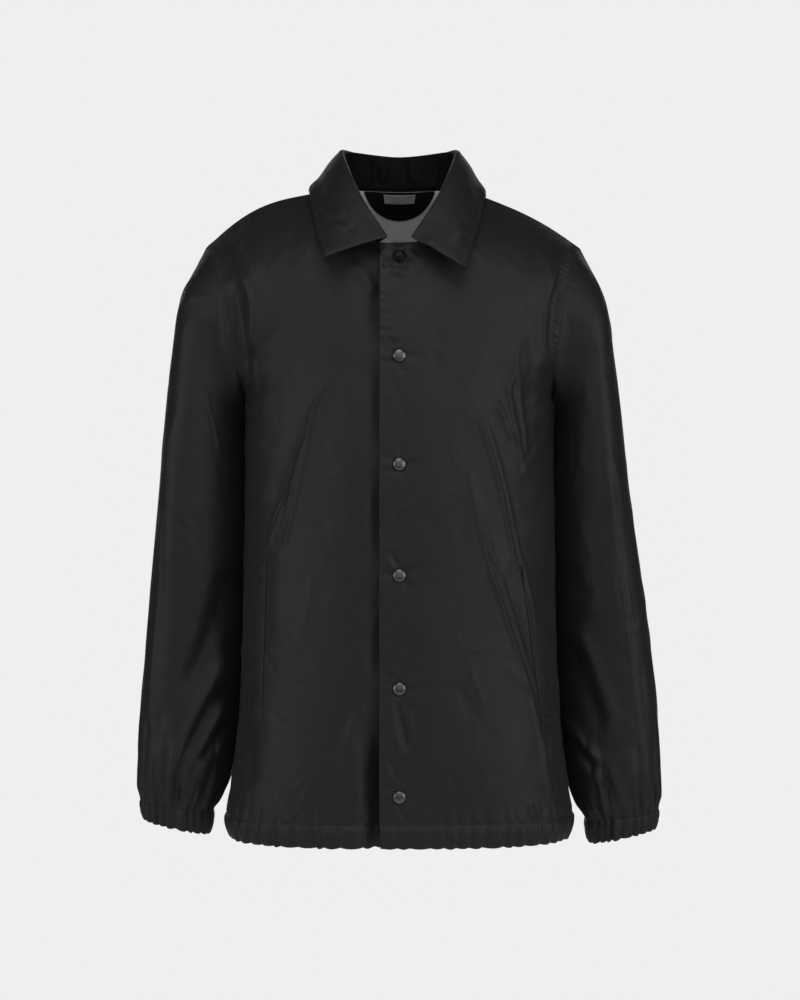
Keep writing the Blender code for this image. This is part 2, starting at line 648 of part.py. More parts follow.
def sew(sheets):
    """Give pieces that meet at a seam one edge direction there and a small gap."""
    meeting = {}
    for sheet in sheets:
        for r, c in sheet.edge_cells():
            meeting.setdefault(tuple(np.round(sheet.grid[r, c], 6)), []).append((sheet, r, c))
    moves = []
    for places in meeting.values():
        if len(places) < 2:
            continue
        normal = unit(sum(sheet.normals[r, c] for sheet, r, c in places))
        ways = [sheet.inward(r, c) for sheet, r, c in places]
        for i, (sheet, r, c) in enumerate(places):
            others = sum(way for j, way in enumerate(ways) if j != i) / (len(ways) - 1)
            sharp = max(0.0, ways[i].dot(unit(others)))
            moves.append((sheet, r, c, normal, unit(ways[i] - others) * (1 + 4 * sharp)))
    for sheet, r, c, normal, apart in moves:
        sheet.grid[r, c] += apart * SEAM_GAP / 2
        sheet.normals[r, c] = normal
    for sheet in sheets:
        if sheet.halved:
            for cells in (sheet.grid, sheet.normals):
                after = np.roll(cells[-1], -1, axis=0)[1::2]
                cells[-1, 1::2] = (cells[-1, 0::2][: len(after)] + after) / 2


def patch(name, sheet, rows, columns, lift, wall=THIN_WALL, material="shell_nylon"):
    """A piece that lies on a panel, made from the panel's points moved out or in."""
    points = sheet.at(rows, columns, np.full(np.shape(rows), lift))
    return Sheet(name, points, wall, False, material)


def pocket_welt(side, panel):
    size = POCKETS[side]
    lift = WALL + WELT_GAP
    rows = []
    for share in np.linspace(0, 1, 9):
        x = size["bottom"][0] * (1 - share) + size["top"][0] * share
        z = size["bottom"][1] * (1 - share) + size["top"][1] * share
        cells = [panel.place_of(x + dx * WELT_WIDTH, z) for dx in (-0.5, -0.17, 0.17, 0.5)]
        rows.append(cells)
    cells = np.array(rows)
    return patch("pocket_welt_" + side, panel, cells[..., 0], cells[..., 1], lift, WALL)


def neck_pieces(back):
    """The lining, facing and label inside the back of the neck, one over the other."""
    rows, columns = back.grid.shape[:2]
    middle = (columns - 1) // 2
    heights = np.append(np.arange(LOWER_ROWS, rows - 1), rows - 1.2)
    reach = np.arange(-LINING_COLUMNS, LINING_COLUMNS + 1)
    row, column = np.meshgrid(heights, middle + reach, indexing="ij")
    step = WALL / 2 + LINING_GAP + THIN_WALL / 2
    lining = patch("back_lining", back, row, column, -step, THIN_WALL, "lining")
    layer = THIN_WALL + LAY_GAP
    row_height = np.linalg.norm(back.grid[-1, middle] - back.grid[-2, middle])
    half = abs(back.place_of(FACING_HALF_WIDTH, 0.0)[1] - middle)
    top_row = rows - 1.26
    across = np.linspace(-1, 1, 13)
    depth = FACING_DEPTH / row_height * np.sqrt(np.maximum(1 - across**2, 0.015))
    down = np.linspace(1, 0, 6)[:, None]
    row = top_row - down * depth
    column = middle + across * half + 0 * down
    facing = patch("neck_facing", back, row, column, -step - layer)
    label_half = half * LABEL_SIZE[0] / 2 / FACING_HALF_WIDTH
    high = top_row - LABEL_DROP / row_height
    low = high - LABEL_SIZE[1] / row_height
    reach = np.linspace(-1, 1, 6) * label_half
    row, column = np.meshgrid(np.linspace(low, high, 3), middle + reach, indexing="ij")
    label = patch("neck_label", back, row, column, -step - 2 * layer, THIN_WALL, "label")
    return lining, facing, label


def add_snap(index, panel):
    """A domed cap with a raised rim, flat on the front edge."""
    row, column = panel.place_of(0.0, SNAP_HEIGHTS[index])
    base = panel.at(np.array(row), np.array(column), np.array(WALL / 2 + LAY_GAP))
    out = unit(panel.at(np.array(row), np.array(column), np.array(1.0)) - base)
    profile = (
        (1.00, 0.00),
        (1.00, 0.55),
        (0.86, 0.88),
        (0.74, 0.70),
    )
    turn = Vector((0, 0, 1)).rotation_difference(Vector(out)).to_matrix().to_4x4()
    place = Matrix.Translation(Vector(base)) @ turn
    mesh = bmesh.new()
    rings = []
    for radius, height in profile:
        points = []
        for i in range(SNAP_SIDES):
            angle = 2 * math.pi * i / SNAP_SIDES
            spot = Vector((math.cos(angle) * radius, math.sin(angle) * radius, 0)) * SNAP_RADIUS
            spot.z = height * SNAP_HEIGHT
            points.append(mesh.verts.new(place @ spot))
        rings.append(points)
    foot = mesh.verts.new(place @ Vector((0, 0, 0)))
    crown = mesh.verts.new(place @ Vector((0, 0, SNAP_HEIGHT)))
    for i in range(SNAP_SIDES):
        j = (i + 1) % SNAP_SIDES
        for low, high in zip(rings, rings[1:]):
            mesh.faces.new((low[i], low[j], high[j], high[i]))
        mesh.faces.new((foot, rings[0][j], rings[0][i]))
        mesh.faces.new((crown, rings[-1][i], rings[-1][j]))
    return add_object("snap_%d" % (index + 1), mesh, "snap_metal")


def main():
    for thing in list(bpy.data.objects):
        bpy.data.objects.remove(thing, do_unlink=True)

    fronts = {}
    sleeves = {}
    halves = {}
    for side in SIDES:
        front = front_half(side)
        back = back_half(side)
        halves[side] = back
        fronts[side] = Sheet("front_" + side, on_side(front, side))
        upper = slice(LOWER_ROWS, None)
        sleeve = sleeve_half(side, front[upper, -1], back[upper, -1])
        sleeves[side] = Sheet("sleeve_" + side, on_side(sleeve, side, True), closed=True)
    left_to_middle = halves["left"][:, ::-1]
    middle_to_right = halves["right"][:, 1:] * np.array([-1, 1, 1])
    back = Sheet("back", np.concatenate([left_to_middle, middle_to_right], axis=1))

    panels = [fronts["left"], fronts["right"], back]
    for sheet in panels + list(sleeves.values()):
        sheet.fold()
    tuck_under(fronts["right"])

    cuffs = []
    for side, sleeve in sleeves.items():
        cuff = cuff_half(side, on_side(sleeve.grid[:1], side, True)[0])
        cuffs.append(Sheet("cuff_" + side, on_side(cuff, side, True), closed=True, halved=True))
    hems = [hem_casing(sheet) for sheet in panels]

    neck_rows = slice(LOWER_ROWS + CENTRE_ROWS + 1, None)
    left_neck = fronts["left"].grid[neck_rows, 0]
    right_neck = fronts["right"].grid[neck_rows, -1]
    middle = back.grid.shape[1] // 2
    back_neck = back.grid[-1, middle - BACK_NECK_COLUMNS : middle + BACK_NECK_COLUMNS + 1]
    neck = np.concatenate([left_neck[:-1], back_neck, right_neck[::-1][1:]])
    collar = Sheet("collar", collar_rows(neck, panels))

    sheets = panels + list(sleeves.values()) + cuffs + hems + [collar]
    sew(sheets)
    sheets += [pocket_welt(side, fronts[side]) for side in SIDES]
    sheets += neck_pieces(back)
    for sheet in sheets:
        sheet.build()
    for index in range(len(SNAP_HEIGHTS)):
        add_snap(index, fronts["left"])


main()
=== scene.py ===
"""The look of a snap-front nylon windbreaker, filled out as it is worn with nobody in it.

Each cloth piece is a thin shell on the form of its solid, with its smaller creases, puckers and
gathers, and with its sewing. Metres, in the part's own frame: the front faces -Y and +X is the
wearer's left.
"""

import math

import bpy
import numpy as np
from mathutils import Matrix, Vector
from mathutils.kdtree import KDTree


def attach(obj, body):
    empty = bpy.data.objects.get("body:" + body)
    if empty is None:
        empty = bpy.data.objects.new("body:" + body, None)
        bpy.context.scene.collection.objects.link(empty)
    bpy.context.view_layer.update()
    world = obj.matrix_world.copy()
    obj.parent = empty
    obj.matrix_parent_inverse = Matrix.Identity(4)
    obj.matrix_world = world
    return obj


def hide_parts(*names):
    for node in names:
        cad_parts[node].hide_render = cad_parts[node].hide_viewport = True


# Cloth and seams
WALL = 0.0015
THIN_WALL = 0.0010
WELT_WALL = 0.0008
LABEL_WALL = 0.0006
LAY_GAP = 0.0006
LINING_GAP = 0.0014
EDGE_RADIUS = 0.0009
CASING_EDGE_RADIUS = 0.0012
RIM_SHARE = 0.35

# Body
HEM_SEAM_Z = -0.709
HEM_HEIGHT = 0.025
HEM_DRAW_IN = 0.980
UNDERARM = (0.176, 0.004, -0.240)
SHOULDER_POINT = (0.215, 0.008, -0.066)
NECK_POINT = (0.072, 0.010, 0.004)
FRONT_OVERLAP = 0.021
COLLAR_MEETS_Z = -0.072
SECTION_FULLNESS = 0.62
NECK_SHARE = 0.55
COLLAR_START_SHARE = 0.61
BACK_NECK_SHARE = 0.30
BLADE_FULLNESS = 0.008
BLADE_LIFT = 0.105
UNDERARM_EASE = 0.0008
UNDERARM_EASE_FALL = (0.18, 0.34)
BODY_DEPTH = 0.16
BACK_NECK_PULL = (0, 0.022, -0.066)
BACK_SHOULDER_PULL = (0, 0.080, -0.036)

# How far the right front sinks behind the lap, at its edge, between the snaps and at the foot, and
# where each dip sets in across the front and up it
UNDER_DIP = 0.0034
UNDER_DIP_ACROSS = (-0.062, -0.026)
LAP_DIP = 0.004
LAP_DIP_ACROSS = (-0.020, FRONT_OVERLAP)
BETWEEN_SNAPS_DIP = 0.0055
BETWEEN_SNAPS_ACROSS = (-0.040, -0.020)
BETWEEN_SNAPS_UP = (-0.600, -0.560)
FOOT_DIP = 0.0160
FOOT_DIP_ACROSS = (-0.047, -0.019)
FOOT_DIP_DOWN = (-0.565, -0.660)

# Snaps, how much of the dip each holds back, and the dimple and rays in the cloth round it
SNAP_RADIUS = 0.0075
SNAP_HEIGHT = 0.0026
# Rows at the cap's foot drawn in darker metal, painted shade for the ring of shadow round each snap
SNAP_SHADE_RIM_ROWS = 4
SNAP_HEIGHTS = (-0.086, -0.197, -0.316, -0.437, -0.560, -0.678)
SNAP_SIDES = 48
SNAP_HOLD = 0.7
SNAP_HOLD_REACH = 0.024
DIMPLE_DEPTH = 0.0016
DIMPLE_REACH = 0.013
RAY_HEIGHT = 0.0006
RAY_DISTANCE = 0.014
RAY_REACH = 0.010

# A snap cap from its foot to near its top, in shares of its radius and height
SNAP_PROFILE = (
    (0.92, -0.30),
    (1.00, 0.00),
    (1.00, 0.14),
    (0.96, 0.24),
    (0.90, 0.26),
    (0.88, 0.34),
    (0.84, 0.46),
    (0.76, 0.60),
    (0.64, 0.74),
    (0.50, 0.85),
    (0.34, 0.93),
    (0.17, 0.985),
)

# Collar
COLLAR_ROLL = 0.0032
COLLAR_BULGE = 0.007
COLLAR_CLEARANCE = 0.0046
COLLAR_WALL = 0.0020
COLLAR_STITCH_IN = 0.0062
COLLAR_STITCH_LIFT = 0.0001
COLLAR_STITCH_ROW = 34
BELOW_COLLAR_Z = -0.16

# Pockets, lining, facing and label
WELT_WIDTH = 0.017
WELT_LENGTH = 0.18
WELT_PILLOW = 0.0006
WELT_PUCKER = 0.4
WELT_PUCKER_PITCH = 0.013
LINING_FADE = 0.01
LINING_SINK = 0.0004
LINING_SHARE = 0.33
FACING_HALF_WIDTH = 0.0425
FACING_DEPTH = 0.033
LABEL_SIZE = (0.036, 0.011)
LABEL_DROP = 0.0028
LABEL_LIFT = 0.0003
LABEL_WAVE = 0.0005

# Grid counts
FRONT_COLUMNS = 190
BACK_COLUMNS = 78
LOWER_ROWS = 260
CENTRE_ROWS = 64
STRIP_ROWS = 10
NECK_ROWS = 48
BACK_NECK_COLUMNS = 32
SLEEVE_ROWS = 236
CUFF_ROWS = 26
HEM_ROWS = 22
COLLAR_STAND_STEPS = 18
COLLAR_ROLL_STEPS = 12
COLLAR_LEAF_STEPS = 34
COLLAR_LIFTED_ROWS = 30
# Rows of the collar stand's inside drawn in the darker cloth, as painted shade
COLLAR_PAINTED_SHADE_ROWS = 22
BODY_GRID = (60, 120)
WELT_CELLS = (90, 16)
WELT_STATIONS = 13
WELT_LANES = 5
LINING_GRID = (80, 91)
FACING_GRID = (33, 61)
LABEL_GRID = (15, 41)

# Rows turned in under an edge, and the angles of the turn itself
CUFF_TURNED_ROWS = 18
HEM_TURNED_ROWS = 16
EDGE_TURNED_COLUMNS = 14
TURN_ANGLES = (180, 150, 120, 90, 60, 30)

# Gathers round a sleeve's end and its cuff: how many, how high, and the shares of the sleeve over
# which they rise and fall. The cuff's are held down along its middle
SLEEVE_GATHERS = 13
SLEEVE_GATHER_HEIGHT = 0.0052
SLEEVE_GATHER_RISE = (0.82, 0.96)
SLEEVE_GATHER_FALL = (0.975, 1.0)
SLEEVE_FINE_HEIGHT = 0.0030
SLEEVE_FINE_RISE = (0.93, 0.985)
GATHER_END_TURN = 0.3
CUFF_GATHERS = 25
CUFF_GATHER_HEIGHT = 0.0033
CUFF_HELD = 0.45
CUFF_HELD_REACH = 0.08
CUFF_MOUTH_FLARE = 0.0006
CUFF_FINE_HEIGHT = 0.0005
CUFF_SWELL = 0.0022
CUFF_SCALLOP = 0.0012

# Puckers along the hem, front edge, armhole and collar edge: how far apart, how high, and how far in
# from the edge they lie and reach. The front edge's are highest round one height
HEM_PUCKER_PITCH = 0.017
HEM_FINE_PITCH = HEM_PUCKER_PITCH * 0.43
HEM_END_FADE = 0.012
HEM_PUCKER_HEIGHT = 0.0023
HEM_FINE_HEIGHT = 0.0006
HEM_SWELL = 0.0030
HEM_SCALLOP = 0.0013
HEM_SEAM_PUCKER = 0.0016
HEM_SEAM_REACH = 0.016
EDGE_PUCKER_PITCH = 0.011
EDGE_PUCKER = 0.0009
EDGE_PUCKER_REACH = 0.014
EDGE_LEAST = 0.35
EDGE_MORE = 2.2
EDGE_MORE_Z = -0.150
EDGE_MORE_REACH = 0.035
ARMHOLE_PUCKER_PITCH = 0.0068
ARMHOLE_PUCKERS = {"left": 0.0017, "right": 0.0006}
ARMHOLE_PUCKER_IN = 0.0060
ARMHOLE_PUCKER_REACH = 0.0050
COLLAR_PUCKER_PITCH = 0.0085
COLLAR_PUCKER = 0.0016
COLLAR_PUCKER_IN = 0.004
COLLAR_PUCKER_REACH = 0.007

# Seeds of the random puckers and small creases. The sleeves' gathers have theirs among the sides
HEM_SEEDS = (70, 75, 80)
EDGE_SEED = 91
ARMHOLE_SEED = 95
COLLAR_PUCKER_SEED = 17
COLLAR_CRUMPLE_SEED = 9
LINING_CRUMPLE_SEED = 5
WELT_SEED = 33

# Sewing
STITCH_LIFT = 0.0002
HEM_STITCH_UP = 0.0022
ARMHOLE_STITCHES_IN = (0.0016, 0.0078)
WELT_STITCH_LIFT = 0.0006
WELT_STITCH_CELLS_IN = 1.4
BAR_TACK = {"lift": 0.0007, "length": 0.0012, "pitch": 0.0009, "radius": 0.0003}
BAR_TACK_CELLS_IN = 1.5
BAR_TACK_LINES = (-1.1, 1.1, 4)

# How many points each line of sewing is laid through
LINE_POINTS = {"collar": 900, "collar_end": 120, "welt": 200, "bar_tack": 40, "hem": 700, "armhole": 400}

MIRROR = np.array([-1, 1, 1])


class Table:
    """Rows of named columns, read at any value of the first one along a smooth curve."""

    def __init__(self, names, *rows):
        self.names = names.split()
        self.rows = np.array(rows, float)

    def at(self, position):
        values = smooth(self.rows[:, 0], self.rows[:, 1:], position)
        return dict(zip(self.names[1:], np.moveaxis(values, -1, 0)))


# The body at heights from the hem seam to the underarm
TORSO = Table(
    "height half_width front back front_square back_square",
    (-0.709, 0.197, 0.137, 0.128, 0.79, 0.64),
    (-0.650, 0.189, 0.140, 0.127, 0.77, 0.63),
    (-0.600, 0.184, 0.141, 0.126, 0.74, 0.62),
    (-0.430, 0.178, 0.140, 0.123, 0.68, 0.62),
    (-0.300, 0.1765, 0.136, 0.123, 0.64, 0.62),
    (-0.240, 0.176, 0.131, 0.124, 0.62, 0.62),
)

# The middle of the front above the underarm
FRONT_MIDDLE = Table("height depth", (-0.240, 0.131), (-0.160, 0.121), (COLLAR_MEETS_Z, 0.097))

# The neckline from the front to the shoulder, and from the middle of the back to the shoulder
FRONT_NECK = ((0.022, -0.0945, -0.0700), (0.046, -0.0730, -0.0520), (0.064, -0.0330, -0.0240), NECK_POINT)
BACK_NECK = ((0.000, 0.078, 0.010), (0.034, 0.071, 0.010), (0.060, 0.047, 0.008), NECK_POINT)

# The armhole from the underarm to the shoulder
FRONT_ARMHOLE = (
    UNDERARM,
    (0.1765, -0.042, -0.2210),
    (0.1825, -0.062, -0.1875),
    (0.1890, -0.065, -0.1570),
    (0.1955, -0.057, -0.1130),
    (0.2060, -0.030, -0.0800),
    SHOULDER_POINT,
)
BACK_ARMHOLE = (
    UNDERARM,
    (0.1770, 0.048, -0.2210),
    (0.1840, 0.072, -0.1870),
    (0.1910, 0.076, -0.1550),
    (0.1980, 0.068, -0.1120),
    (0.2080, 0.042, -0.0800),
    SHOULDER_POINT,
)

# The sleeve by its outer and inner lines, as a share of the way from armhole to cuff
SLEEVE = Table(
    "share out_x out_z in_x in_y in_z front back",
    (0.13, 0.2415, -0.122, 0.1745, 0.046, -0.292, 0.080, 0.097),
    (0.26, 0.2535, -0.195, 0.1740, 0.046, -0.345, 0.083, 0.098),
    (0.50, 0.2695, -0.355, 0.1740, 0.044, -0.445, 0.084, 0.088),
    (0.70, 0.2850, -0.490, 0.1770, 0.044, -0.548, 0.080, 0.078),
    (0.86, 0.2945, -0.603, 0.1860, 0.036, -0.636, 0.075, 0.068),
    (0.95, 0.2955, -0.668, 0.1990, 0.018, -0.688, 0.066, 0.055),
    (1.00, 0.2945, -0.704, 0.2130, 0.000, -0.715, 0.046, 0.034),
)
SLEEVE_SQUARE = 0.86
SLEEVE_CLEARANCE = 0.0008
CUFF_END = dict(out_x=0.291, out_z=-0.7235, in_x=0.2165, in_y=0.0, in_z=-0.7400, front=0.043, back=0.031)

# How each side hangs: its shoulder out or in, the shoulder's arch, its cuff up or down, how far up
# and out its collar point and its collar's outer edge lie, and the seed of its gathers
SIDE_COLUMNS = "sign shoulder_out shoulder_arch cuff_up point_up point_out edge_out gather_seed".split()
SIDES = {
    "left": dict(zip(SIDE_COLUMNS, (1, -0.0075, 0.007, -0.0040, -0.004, -0.0055, -0.0055, 40))),
    "right": dict(zip(SIDE_COLUMNS, (-1, 0.0075, 0.018, 0.0065, 0.008, 0.0035, 0.0, 50))),
}

# The collar's fold and outer edge from the front end to the middle of the back
COLLAR = Table(
    "share fold_x fold_y fold_z edge_x edge_y edge_z",
    (0.00, 0.0135, -0.1015, -0.0655, 0.081, -0.124, -0.099),
    (0.20, 0.0395, -0.0720, -0.0230, 0.090, -0.085, -0.068),
    (0.42, 0.0590, -0.0230, 0.0225, 0.097, -0.035, -0.033),
    (0.60, 0.0660, 0.0220, 0.0475, 0.099, 0.022, -0.009),
    (0.80, 0.0500, 0.0670, 0.0520, 0.076, 0.076, -0.012),
    (1.00, 0.0000, 0.0880, 0.0500, 0.000, 0.104, -0.020),
    (1.20, -0.0500, 0.0670, 0.0520, -0.076, 0.076, -0.012),
)

# Pocket welts, top and bottom, as seen from the front
POCKETS = {
    "left": {"top": (0.1420, -0.426), "bottom": (0.1660, -0.603)},
    "right": {"top": (-0.1550, -0.420), "bottom": (-0.1600, -0.600)},
}

# Folds of a piece as seen from the front or back, in millimetres: half width, height (troughs are
# negative), how much steeper one side is, and the line of the fold as x and z
FOLDS = {
    ("front_right", "front"): (
        (14, 5.5, 0.5, ((-194, -100), (-180, -105), (-169, -118), (-163, -140), (-164, -200))),
        (12, -7.0, 0.0, ((-194, -112), (-184, -145), (-178, -185), (-172, -225))),
        (11, 1.8, 0.3, ((-70, -200), (-93, -254), (-108, -310), (-119, -358), (-137, -420))),
        (9, -1.6, 0.0, ((-106, -262), (-122, -298), (-133, -333), (-140, -370))),
        (10, 1.6, 0.0, ((-133, -200), (-147, -230), (-155, -270), (-160, -330))),
        (20, 1.6, 0.0, ((-50, -200), (-55, -300), (-50, -420))),
        (8, 1.8, 0.2, ((-27, -577), (-44, -587), (-51, -602), (-47, -680), (-49, -716))),
        (12, -3.6, 0.0, ((-170, -600), (-169, -640), (-170, -680))),
        (10, 1.6, 0.0, ((-130, -400), (-132, -460), (-133, -520))),
    ),
    ("front_left", "front"): (
        (11, 2.0, -0.3, ((66, -205), (84, -257), (95, -290), (106, -328), (123, -404))),
        (10, 1.6, -0.3, ((71, -296), (83, -360), (95, -417), (117, -486), (160, -650))),
        (9, 1.4, 0.0, ((104, -243), (115, -268), (123, -292))),
        (12, 2.0, 0.0, ((134, -172), (126, -213), (122, -240), (127, -270), (137, -310))),
        (12, -3.0, 0.0, ((137, -134), (148, -170), (150, -205))),
        (9, 1.6, 0.0, ((158, -130), (157, -170), (157, -210), (152, -260), (149, -300))),
        (16, 1.2, 0.0, ((99, -118), (96, -140), (93, -164))),
        (20, 1.4, 0.0, ((30, -430), (36, -560), (40, -700))),
        (22, -1.2, 0.0, ((60, -150), (56, -200), (60, -260))),
    ),
    ("back", "back"): (
        (20, 4.4, 0.2, ((120, -180), (105, -290), (70, -380))),
        (20, 4.4, -0.2, ((-120, -180), (-100, -300), (-60, -400))),
        (22, 4.0, 0.0, ((150, -330), (130, -480), (125, -640))),
        (22, 4.0, 0.0, ((-150, -320), (-135, -470), (-128, -640))),
        (26, 3.4, 0.0, ((40, -420), (30, -560), (34, -700))),
        (26, 3.4, 0.0, ((-45, -440), (-40, -580), (-46, -700))),
        (9, 2.0, 0.3, ((140, -210), (118, -270), (92, -330))),
        (9, 2.0, -0.3, ((-142, -215), (-122, -280), (-90, -345))),
    ),
    ("sleeve_right", "front"): (
        (14, 4.1, 0.0, ((-256, -245), (-258, -350), (-255, -466))),
        (12, -6.8, 0.0, ((-184, -415), (-205, -488), (-232, -555), (-246, -582))),
        (10, 6.1, 0.3, ((-194, -520), (-216, -566), (-238, -616), (-254, -664))),
        (8, -5.4, 0.0, ((-199, -562), (-221, -599), (-244, -650))),
        (8, 4.9, 0.2, ((-197, -580), (-216, -616), (-232, -652))),
        (7, -4.3, 0.0, ((-196, -605), (-213, -630), (-225, -652))),
        (8, 4.1, 0.0, ((-200, -625), (-216, -649), (-225, -674))),
        (9, -3.0, 0.0, ((-266, -577), (-270, -620), (-272, -662))),
    ),
    ("sleeve_left", "front"): (
        (14, 3.5, 0.0, ((224, -200), (230, -300), (238, -390))),
        (10, 4.6, -0.2, ((196, -490), (220, -544), (239, -602), (244, -640))),
        (11, -6.2, 0.0, ((190, -506), (211, -566), (229, -622))),
        (8, 5.1, -0.2, ((190, -600), (209, -629), (233, -657))),
        (8, -4.3, 0.0, ((188, -612), (205, -640), (228, -664))),
        (9, 4.6, 0.0, ((192, -624), (211, -657), (238, -672))),
        (12, 3.2, 0.0, ((200, -430), (214, -455), (226, -490))),
        (10, -3.5, 0.0, ((190, -430), (200, -446), (214, -470))),
    ),
    ("sleeve_right", "back"): (
        (18, 5.0, 0.2, ((-200, -420), (-235, -450), (-265, -440))),
        (18, 4.6, 0.2, ((-200, -520), (-235, -570), (-280, -580))),
        (13, 3.8, 0.2, ((-205, -610), (-235, -650), (-262, -690))),
    ),
    ("sleeve_left", "back"): (
        (18, 5.0, -0.2, ((200, -430), (235, -460), (262, -450))),
        (18, 4.6, -0.2, ((200, -530), (235, -575), (280, -590))),
        (13, 3.8, -0.2, ((205, -615), (235, -650), (264, -690))),
    ),
}

# Finer creases, told in the same way
CREASES = {
    ("front_right", "front"): (
        (2.8, 1.7, 0.0, ((-70, -205), (-93, -254), (-103, -292), (-113, -325), (-128, -392))),
        (2.6, 1.59, 0.0, ((-92, -262), (-103, -306), (-113, -350), (-126, -401), (-138, -424))),
        (2.4, -0.53, 0.0, ((-97, -280), (-107, -316), (-116, -356), (-123, -386))),
        (2.6, 1.49, 0.0, ((-124, -354), (-133, -374), (-140, -393), (-146, -412))),
        (2.4, 1.27, 0.0, ((-129, -352), (-139, -376), (-146, -400))),
        (3.0, 2.55, 0.4, ((-184, -101), (-171, -115), (-164, -134), (-162, -156), (-164, -190))),
        (3.0, 1.7, 0.0, ((-164, -190), (-161, -215), (-160, -245))),
        (7.0, 2.55, 0.0, ((-56, -88), (-40, -108), (-24, -132))),
        (3.0, 0.95, 0.0, ((-29, -579), (-44, -588), (-51, -600), (-49, -640))),
        (3.0, 0.74, 0.0, ((-40, -640), (-38, -680), (-38, -712))),
    ),
    ("front_left", "front"): (
        (2.8, 1.91, 0.0, ((68, -216), (84, -257), (106, -328), (123, -404), (142, -486), (147, -535))),
        (2.4, 1.38, 0.0, ((76, -222), (91, -257), (112, -326), (129, -402), (148, -486), (152, -530))),
        (2.2, -0.64, 0.0, ((88, -259), (109, -327), (126, -403), (144, -484))),
        (2.8, 1.91, 0.0, ((72, -302), (88, -388), (117, -486), (144, -568), (161, -649), (167, -694))),
        (2.4, 1.38, 0.0, ((80, -330), (95, -388), (124, -484), (150, -566), (167, -640))),
        (2.2, -0.64, 0.0, ((84, -345), (92, -390), (120, -486), (147, -568))),
        (3.0, 1.49, 0.0, ((104, -243), (115, -268), (123, -292))),
        (2.8, 1.7, 0.0, ((134, -172), (126, -213), (120, -238), (126, -270), (142, -333))),
        (2.8, 1.49, 0.0, ((112, -216), (118, -235), (123, -268), (131, -295), (137, -314))),
        (2.8, 1.49, 0.0, ((131, -191), (131, -230), (135, -262), (139, -292), (139, -322))),
        (2.2, 1.5, 0.0, ((183, -86), (170, -118), (162, -154), (163, -198))),
        (4.5, -2.2, 0.0, ((188, -90), (177, -122), (169, -160), (169, -200))),
        (3.5, -3.7, 0.0, ((-10, -78), (-2, -75), (6, -79))),
        (4.0, 4.4, 0.0, ((5, -79), (12, -84), (19, -89))),
        (3.5, -3.7, 0.0, ((4, -93), (11, -93), (19, -96))),
        (4.0, 3.7, 0.0, ((-21, -85), (-13, -80), (-5, -80))),
        (3.5, -3.7, 0.0, ((-20, -98), (-12, -92), (-5, -90))),
        (4.5, 3.1, 0.0, ((-10, -100), (0, -104), (11, -100))),
        (2.4, -1.49, 0.0, ((-17, -176), (-8, -182), (0, -187))),
        (2.4, -1.49, 0.0, ((-6, -202), (-1, -209), (4, -217))),
        (2.4, -1.7, 0.0, ((-12, -410), (-6, -419), (-1, -428))),
        (2.4, -2.12, 0.0, ((-20, -544), (-8, -546), (0, -552))),
        (4.5, -3.4, 0.0, ((-3, -572), (4, -601), (11, -632))),
        (3.0, 1.91, 0.0, ((-9, -572), (-5, -600), (0, -630))),
        (3.0, 1.7, 0.0, ((6, -575), (12, -600), (16, -628))),
        (3.5, -2.76, 0.0, ((-11, -633), (-6, -648), (0, -664))),
        (2.4, -2.34, 0.0, ((0, -684), (4, -697), (8, -709))),
        (2.6, 1.91, 0.0, ((142, -684), (146, -699), (149, -709))),
        (3.0, 1.91, 0.0, ((158, -608), (162, -659), (170, -684))),
        (3.0, 1.7, 0.0, ((174, -594), (169, -628), (165, -655))),
    ),
    ("sleeve_right", "front"): (
        (2.8, 1.7, 0.0, ((-262, -325), (-271, -474), (-279, -566), (-282, -640))),
        (3.4, 1.91, 0.3, ((-196, -524), (-216, -566), (-238, -616), (-253, -662))),
        (3.4, 1.91, 0.3, ((-198, -580), (-216, -616), (-231, -650))),
        (4.5, 2.55, 0.0, ((-232, -640), (-240, -670), (-244, -700))),
        (4.5, 2.55, 0.0, ((-258, -650), (-262, -680), (-264, -702))),
        (4.0, -2.97, 0.0, ((-276, -640), (-275, -665), (-276, -690))),
    ),
    ("sleeve_left", "front"): (
        (2.8, 1.06, 0.0, ((230, -288), (239, -380), (250, -455), (259, -529), (273, -660))),
        (2.4, 0.74, 0.0, ((245, -395), (256, -455), (265, -529), (270, -585), (277, -650))),
        (2.4, -0.64, 0.0, ((243, -400), (253, -455), (262, -529), (268, -590))),
        (2.6, 0.85, 0.0, ((257, -386), (262, -410), (265, -432))),
        (3.4, 1.91, -0.3, ((192, -602), (209, -629), (231, -655))),
        (4.5, 2.55, 0.0, ((236, -650), (244, -680), (250, -705))),
        (4.0, -2.97, 0.0, ((262, -664), (258, -684), (256, -702))),
    ),
    ("collar", "front"): (
        (4.0, -4.1, 0.0, ((-32, 50), (-28, 32), (-26, 10))),
        (4.5, 3.4, 0.0, ((-22, 50), (-19, 32), (-20, 14))),
        (3.5, -3.4, 0.0, ((8, 50), (6, 34), (5, 20))),
        (4.0, 2.7, 0.0, ((16, 50), (15, 34), (18, 14))),
        (4.0, -3.4, 0.0, ((46, 46), (43, 30), (40, 12))),
        (4.5, 2.3, 0.2, ((-92, -30), (-76, -38), (-58, -40))),
        (4.5, 2.0, 0.0, ((-94, -46), (-74, -54), (-50, -52))),
        (6.0, -2.0, 0.0, ((-84, -36), (-64, -48), (-44, -62))),
        (6.0, 2.3, 0.0, ((84, -26), (70, -50), (60, -80))),
        (5.0, 1.7, 0.0, ((92, -56), (76, -60), (58, -62))),
    ),
}

# Small random creases on each piece: how many, and their half length, half width and height in
# millimetres
CRUMPLES = {
    "front_left": (170, 30, 5.5, 0.95),
    "front_right": (170, 30, 5.5, 0.95),
    "back": (240, 28, 6.0, 0.85),
    "sleeve_left": (200, 30, 5.5, 1.00),
    "sleeve_right": (200, 30, 5.5, 1.00),
    "collar": (60, 14, 4.0, 0.50),
    "back_lining": (30, 20, 6.0, 0.45),
}

